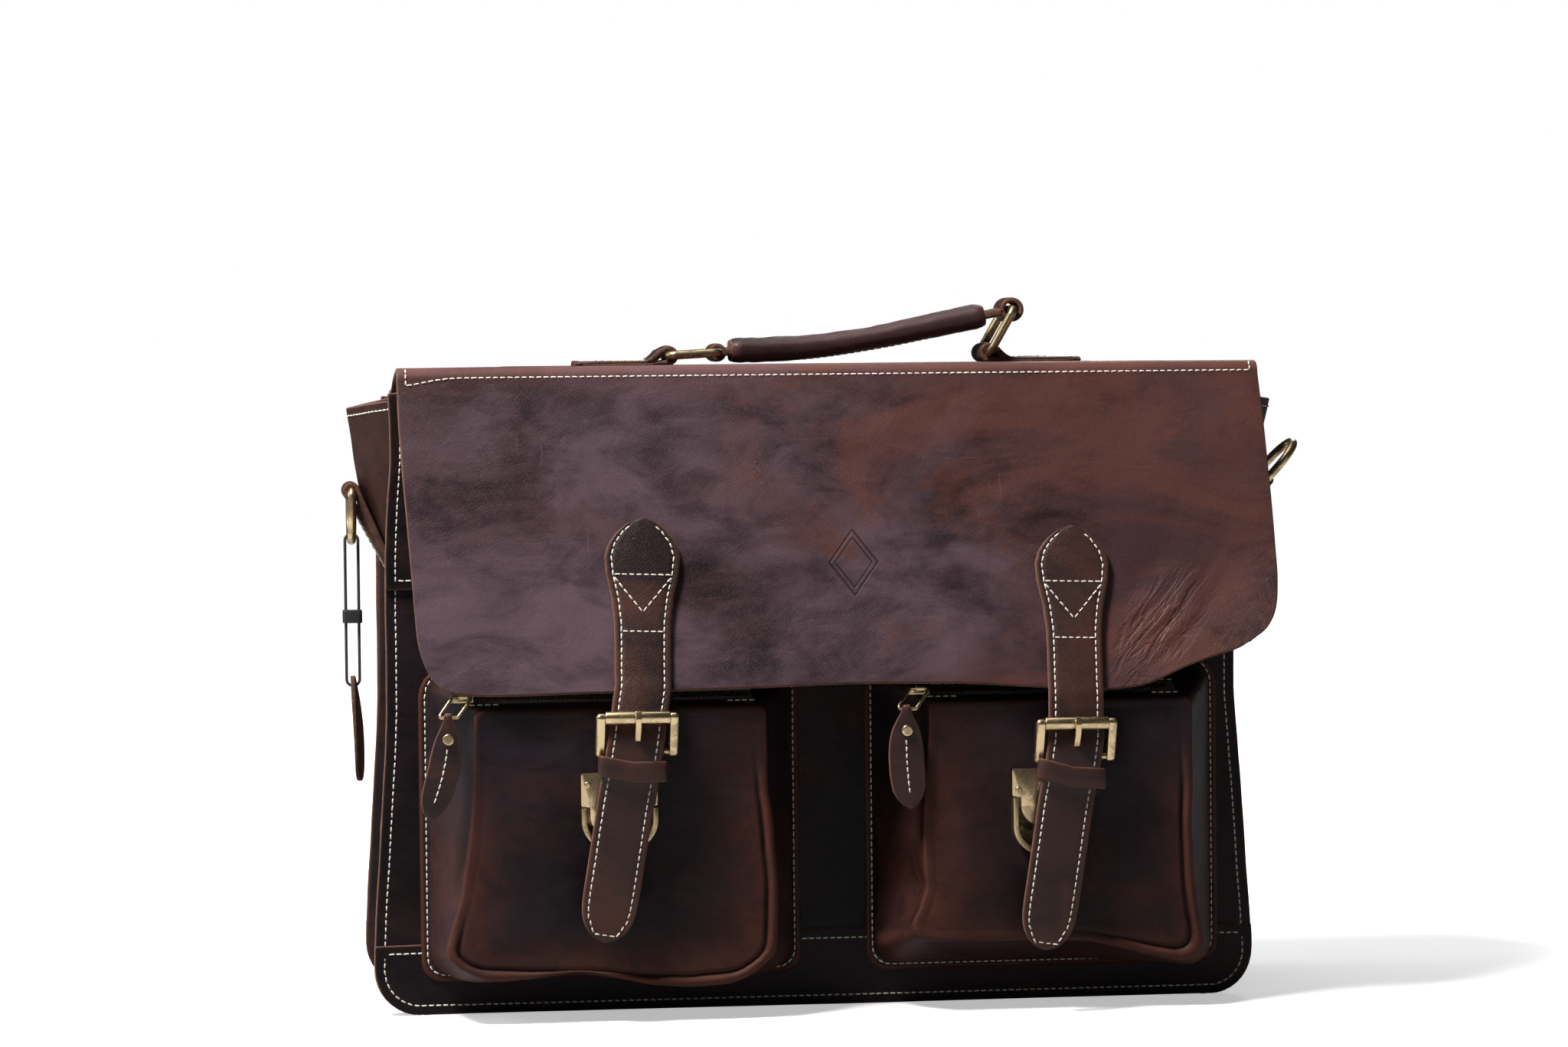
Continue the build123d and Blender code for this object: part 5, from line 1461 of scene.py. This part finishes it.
def build_handle_wrap():
    """Rolled grip, wider than thick, with a joint along the underside."""
    line = smooth_curve(WRAP_LINE, 96)
    normals = line_normals(line)
    last = len(line) - 1
    around = 40
    rings = []
    for i, (p, n) in enumerate(zip(line, normals)):
        u = i / last
        from_end = min(u, 1 - u) * 128.0
        k = 1 - 0.10 * math.exp(-from_end / 1.2) + 0.03 * bell(from_end - 3.5, 2.5)
        half_z = 5.5 * k * (1 + 0.05 * math.sin(u * 9) + 0.04 * wobble(i * 2.2, 0, 0, 14, 4.4))
        ring = []
        for a in angles(around):
            y, height = squared_circle(a, 11.3 * k, half_z, 0.72)
            height += 0.25 * wobble(i * 1.3, y * 3, math.sin(a) * 10, 12, 7.0)
            if math.sin(a) < 0:
                height += 0.7 * bell(y, 0.9)
            ring.append((p[0] + n[0] * height, y, p[1] + n[1] * height))
        rings.append(ring)
    grid = np.array(rings)
    mesh = MeshBuilder()
    mesh.grid(grid, 0, close_v=True)
    # thick raw ends that turn in to the strap inside
    for row, out in ((0, -1), (last, 1)):
        centre = grid[row].mean(axis=0)
        end = [grid[row]]
        for size, push in ((0.97, 0.35), (0.80, 0.3), (0.62, -0.6)):
            end.append(centre + (grid[row] - centre) * size + vec(out * push, 0, 0))
        start = mesh.grid(np.array(end), 1, close_v=True, flip=out < 0)
        mesh.fan(start + 3 * around, around, centre - vec(out * 0.8, 0, 0), 1)
    mesh.skin("handle_wrap", GRIP_MATS, "handle")
    seam = MeshBuilder()
    for y in (-2.6, 2.6):
        stitches(seam, [vec(p[0] - n[0] * 5.35, y, p[1] - n[1] * 5.35)
                        for p, n in zip(line[3:-3], normals[3:-3])],
                 [vec(-n[0], 0, -n[1]) for n in normals[3:-3]])
    seam.build("handle_stitch", [M_THREAD], "handle", ())


# ------------------------------------------------------------------ side tabs and hang tag
RING_BAR_Z = 236.0
RING_TAB_LOW = 197.0
RING_TAB_HALF = 11.4
RING_TAB_Y = [-11.4, -11.1, -10.2, -8.9, -7.8, -3.5, 0, 3.5, 7.8, 8.9, 10.2, 11.1, 11.4]
RING_TAB_SEAM = 8.9


def build_ring_tab(name, side, bar_x):
    """Tab on the gusset that holds a side ring; distances are outward from the centre."""
    def surface(z):
        return table(GUSSET_MID[side], z)

    def face(z):
        return lerp(surface(RING_TAB_LOW) + 4.0, bar_x + 3.4, (z - RING_TAB_LOW) / 38)

    low = surface(RING_TAB_LOW)
    profile = [(low + 0.2, RING_TAB_LOW), (low + 2.2, 196.6), (low + 4.0, 197.8)]
    profile += [(face(z) + 0.25 * math.sin((z - RING_TAB_LOW) / 38 * 9), z)
                for z in np.linspace(201, 229, 10)]
    profile += [(bar_x + 4.15 * math.cos(a), RING_BAR_Z + 4.15 * math.sin(a))
                for a in np.linspace(-0.45, 2.55, 16)]
    profile += [(surface(235.0) + 0.1, 235.4)]
    profile = np.array(profile + [(surface(z) + 0.1, z) for z in np.linspace(230, 200, 8)])
    middle = profile.mean(axis=0)
    bar = np.array((bar_x, RING_BAR_Z))
    rows, liner = [], []
    for point, tangent in zip(profile, np.gradient(profile, axis=0)):
        x, z = point
        along = unit(tangent)
        out = np.array((along[1], -along[0]))
        if np.dot(out, point - middle) < 0:
            out = -out
        row = []
        for y in RING_TAB_Y:
            a = abs(y)
            inset = 0.5 if a > 11.3 else (0.12 if a > 11.0 else 0.0)
            lift = -0.25 * bell(a - RING_TAB_SEAM, 0.8) - inset
            row.append((side * (x + out[0] * lift), y, z + out[1] * lift))
        rows.append(row)
        from_bar = point - bar
        radius = np.linalg.norm(from_bar)
        if radius < 5.2:
            inner = bar + from_bar / radius * BAR_HOLE
        else:
            z_in = min(z, 231.5)
            inner = ((surface(z_in) + face(z_in)) / 2, max(z_in, 199))
        liner.append((side * inner[0], inner[1]))
    mesh = MeshBuilder()
    wrapped_tab(mesh, np.array(rows), liner, RING_TAB_HALF, reverse_first=False)
    mesh.skin(f"dring_tab_{name}", STRAP_MATS, "bag")
    for y in (-RING_TAB_SEAM, RING_TAB_SEAM):
        stitches(bag_thread, [vec(side * (face(z) + 0.1), y, z)
                              for z in np.linspace(199.5, 228, 12)],
                 unit(vec(side * 0.88, 0, -0.47)))


TAG_X = -208.2
# z, half width
TAG_WIDTH = [(102, 1.5), (102.6, 5.0), (104, 8.0), (107, 10.8), (112, 12.3), (120, 12.6),
             (128, 12.4), (138, 9.8), (146, 5.6), (149, 3.4), (150.6, 1.4)]


def build_hang_tag():
    """Leather drop on the cord, turned a little about the vertical."""
    zs = np.concatenate([[150.6, 150.2, 149.4], np.linspace(148, 105, 22),
                         [103.8, 102.8, 102.2, 102.0]])
    backs = np.array([(TAG_X + 0.9 + 1.2 * math.sin((150 - z) / 48 * math.pi)
                       + 2.6 * (max(150 - z, 0) / 48) ** 1.5, 0, z) for z in zs])
    turn = math.radians(9)
    mesh = MeshBuilder()
    ribbon(mesh, backs, [table(TAG_WIDTH, z) for z in zs], 1.8,
           side_hint=(math.sin(turn), math.cos(turn), 0),
           out_hint=(-math.cos(turn), math.sin(turn), 0))
    mesh.skin("hang_tag", STRAP_MATS, "hang_tag")


# ------------------------------------------------------------------ lining
def box_ring(half_x, half_y, z, wave=0.0):
    """Level ring round a box with rounded corners, pushed in by noise."""
    r = 3
    x, y = half_x - r, half_y - r
    points = []
    for cx, cy, first in ((x, y, 0), (-x, y, 90), (-x, -y, 180), (x, -y, 270)):
        for a in np.radians(np.linspace(first, first + 90, 5)):
            points.append((cx + r * math.cos(a), cy + r * math.sin(a)))
    ring = []
    for px, py in resample(np.array(points + [points[0]]), 161)[:-1]:
        push = abs(wave * wobble(px, py, z, 36, 2.0))
        out = unit(np.array((px / 3.5, py)))
        ring.append((px - out[0] * push, py - out[1] * push, z))
    return ring


def build_lining():
    outer = [box_ring(175.8, 49.3, 267.8), box_ring(176, 49.5, 266.5)]
    outer += [box_ring(176, 49.4, z) for z in np.linspace(262, 8, 24)]
    outer += [box_ring(174, 48, 4.4)]
    inner = [box_ring(174.6, 47.9, 5.6)]
    inner += [box_ring(174.8, 48.4, z, wave=1.1) for z in np.linspace(9, 262, 24)]
    inner += [box_ring(174.9, 48.5, 266.5), box_ring(175.2, 48.8, 267.8)]
    count = len(outer[0])
    mesh = MeshBuilder()
    out_top = mesh.grid(np.array(outer), 0, close_v=True)
    in_floor = mesh.grid(np.array(inner), 0, close_v=True)
    out_floor = out_top + (len(outer) - 1) * count
    in_top = in_floor + (len(inner) - 1) * count
    under = mesh.add([(0, 0, 4.4)])
    floor_centre = mesh.add([(0, 0, 5.6)])
    # both floors closed to their centres, and the two walls joined at the top
    for j in range(count):
        j2 = (j + 1) % count
        mesh.add_faces([(out_floor + j, out_floor + j2, under),
                        (in_floor + j2, in_floor + j, floor_centre),
                        (out_top + j2, out_top + j, in_top + j, in_top + j2)], 0)
    mesh.skin("lining", [M_LINING], "bag", SLOT_LINING)


def build_divider():
    xs = np.concatenate([[-172.5, -172.0], np.linspace(-168, 168, 40), [172.0, 172.5]])
    rows = []
    for z in np.concatenate([[6.0, 6.6], np.linspace(10, 228, 30), [233.0, 234.6, 235.2]]):
        row = []
        for x in xs:
            e = ease(min(173 - abs(x), 235.5 - z) / 6)
            row.append((x, 18.2 - 0.6 * e + 0.5 * wobble(x, 0, z, 60, 1.0) * e, z))
        rows.append(row)
    mesh = MeshBuilder()
    sheet(mesh, np.array(rows), 3.6, mats=(0, 0, 0))
    mesh.skin("divider", [M_LINING], "bag", SLOT_LINING)


# ------------------------------------------------------------------ CAD hardware
# start of the piece's name: material, bevel in mm
HARDWARE = {
    "buckle_frame": (M_BRASS, 0.55), "buckle_roller": (M_BRASS, 0.35),
    "buckle_prong": (M_BRASS, 0.4), "lock_body": (M_BRASS_DARK, 0.4),
    "lock_button": (M_BRASS, 0.3), "lock_clip": (M_BRASS, 0.3), "clip_rivets": (M_BRASS, 0),
    "handle_ring": (M_BRASS_DARK, 0), "dring": (M_BRASS, 0), "zip_slider": (M_BRASS_DARK, 0.35),
    "pull_ring": (M_BRASS_DARK, 0), "pull_rivet": (M_BRASS, 0), "tag_cord": (M_CORD, 0),
    "tag_bead": (M_BLACK, 0.4), "base_board": (M_LINING, 0)}


def dress_hardware(ob, material, bevel_width):
    ob.data.materials.clear()
    ob.data.materials.append(material)
    weld = ob.modifiers.new("weld", "WELD")
    weld.merge_threshold = WELD
    if bevel_width:
        bevel = ob.modifiers.new("bevel", "BEVEL")
        bevel.width = bevel_width * MM
        bevel.segments = 3
        bevel.limit_method = "ANGLE"
        bevel.angle_limit = math.radians(32)
        bevel.harden_normals = True
    ob.data.polygons.foreach_set("use_smooth", [True] * len(ob.data.polygons))
    if not bevel_width:
        ob.modifiers.new("wn", "WEIGHTED_NORMAL").keep_sharp = True


# ------------------------------------------------------------------ floor, lights, camera
def build_floor(half=5, cells=16, z=-0.0002):
    bm = bmesh.new()
    lines = [lerp(-half, half, i / cells) for i in range(cells + 1)]
    v = [[bm.verts.new((x, y, z)) for y in lines] for x in lines]
    for i in range(cells):
        for j in range(cells):
            bm.faces.new((v[i][j], v[i + 1][j], v[i + 1][j + 1], v[i][j + 1]))
    mesh = bpy.data.meshes.new("floor")
    bm.to_mesh(mesh)
    bm.free()
    mesh.materials.append(pale_floor())
    floor = bpy.data.objects.new("floor", mesh)
    bpy.context.scene.collection.objects.link(floor)


def area_light(name, place, target, size, power, color=(1, 1, 1)):
    light = bpy.data.lights.new(name, "AREA")
    light.energy = power
    light.color = color
    light.size = size
    ob = bpy.data.objects.new(name, light)
    bpy.context.scene.collection.objects.link(ob)
    ob.location = place
    ob.rotation_euler = (Vector(target) - Vector(place)).to_track_quat("-Z", "Y").to_euler()


def build_lights():
    area_light("key", place=(-0.95, -0.62, 1.95), target=(-0.03, 0, 0.20), size=0.45, power=74,
               color=(1.0, 0.985, 0.975))
    area_light("fill", place=(1.7, -1.9, 0.9), target=(0, 0, 0.14), size=0.8, power=1.0,
               color=(0.94, 0.97, 1.0))
    area_light("front", place=(-1.5, -2.1, 0.9), target=(0, 0, 0.16), size=0.45, power=1.3,
               color=(1.0, 0.98, 0.97))
    area_light("top", place=(-0.2, 0.3, 1.7), target=(-0.05, 0, 0.2), size=1.2, power=9)
    area_light("rim", place=(-1.5, 0.2, 0.8), target=(0, 0, 0.2), size=0.7, power=7)
    area_light("back", place=(0.9, 2.3, 1.3), target=(0, 0, 0.14), size=0.9, power=14,
               color=(0.97, 0.98, 1.0))


def build_world():
    """White to the camera, and a faint cool light on everything else."""
    world = bpy.data.worlds.new("world")
    bpy.context.scene.world = world
    world.use_nodes = True
    nodes, links = world.node_tree.nodes, world.node_tree.links
    ambient = nodes["Background"]
    ambient.inputs[0].default_value = (0.96, 0.98, 1.0, 1)
    ambient.inputs[1].default_value = 0.035
    seen = nodes.new("ShaderNodeBackground")
    seen.inputs[0].default_value = (1, 1, 1, 1)
    seen.inputs[1].default_value = 1.0
    ray = nodes.new("ShaderNodeLightPath")
    mixer = nodes.new("ShaderNodeMixShader")
    links.new(ray.outputs["Is Camera Ray"], mixer.inputs[0])
    links.new(ambient.outputs[0], mixer.inputs[1])
    links.new(seen.outputs[0], mixer.inputs[2])
    links.new(mixer.outputs[0], nodes["World Output"].inputs[0])


CAMERA_PLACE = (-0.28028, -2.15886, 0.29871)
# degrees: heading right of +Y, tilt below level, roll about the view
CAMERA_HEADING, CAMERA_TILT, CAMERA_ROLL = 7.212, 2.125, 0.563
CAMERA_LENS = 107.201953


def build_camera():
    data = bpy.data.cameras.new("camera")
    camera = bpy.data.objects.new("camera", data)
    bpy.context.scene.collection.objects.link(camera)
    bpy.context.scene.camera = camera
    data.sensor_width = 36.0
    data.lens = CAMERA_LENS
    data.clip_start = 0.05
    heading, tilt, roll = map(math.radians, (CAMERA_HEADING, CAMERA_TILT, CAMERA_ROLL))
    forward = Vector((math.sin(heading) * math.cos(tilt), math.cos(heading) * math.cos(tilt),
                      -math.sin(tilt)))
    right = Vector((math.cos(heading), -math.sin(heading), 0))
    up = right.cross(forward)
    rolled_right = right * math.cos(roll) - up * math.sin(roll)
    rolled_up = up * math.cos(roll) + right * math.sin(roll)
    camera.location = CAMERA_PLACE
    turn = Matrix((rolled_right, rolled_up, -forward)).transposed()
    camera.rotation_euler = turn.to_euler()


# ------------------------------------------------------------------ build
# The order matters: all stitching draws from one random sequence.
build_panels()
stitch_panels()
build_gusset()
build_flap()
for side in SIDES:
    build_strap(side)
    build_keeper(side)
    build_chape(side)
for side in SIDES:
    build_pocket(side)
    build_zip(side)
    build_pull(side)
build_handle_tab("left", bar_x=-61.4, far_x=-105.0)
build_handle_tab("right", bar_x=88.3, far_x=132.0)
build_handle_strap()
build_handle_wrap()
build_ring_tab("left", side=-1, bar_x=208.2)
build_ring_tab("right", side=1, bar_x=219.7)
build_hang_tag()
build_lining()
build_divider()
bag_thread.build("stitching_bag", [M_THREAD], "bag", (), clean=False)
flap_thread.build("stitching_flap", [M_THREAD], "flap", (), clean=False)
for node_name, ob in NODES.items():
    for start, (material, bevel_width) in HARDWARE.items():
        if node_name.startswith(start) and not node_name.startswith("dring_tab"):
            dress_hardware(ob, material, bevel_width)
build_floor()
build_lights()
build_world()
build_camera()
view = bpy.context.scene.view_settings
view.view_transform = "Standard"
view.look = "None"
view.exposure = 0.0
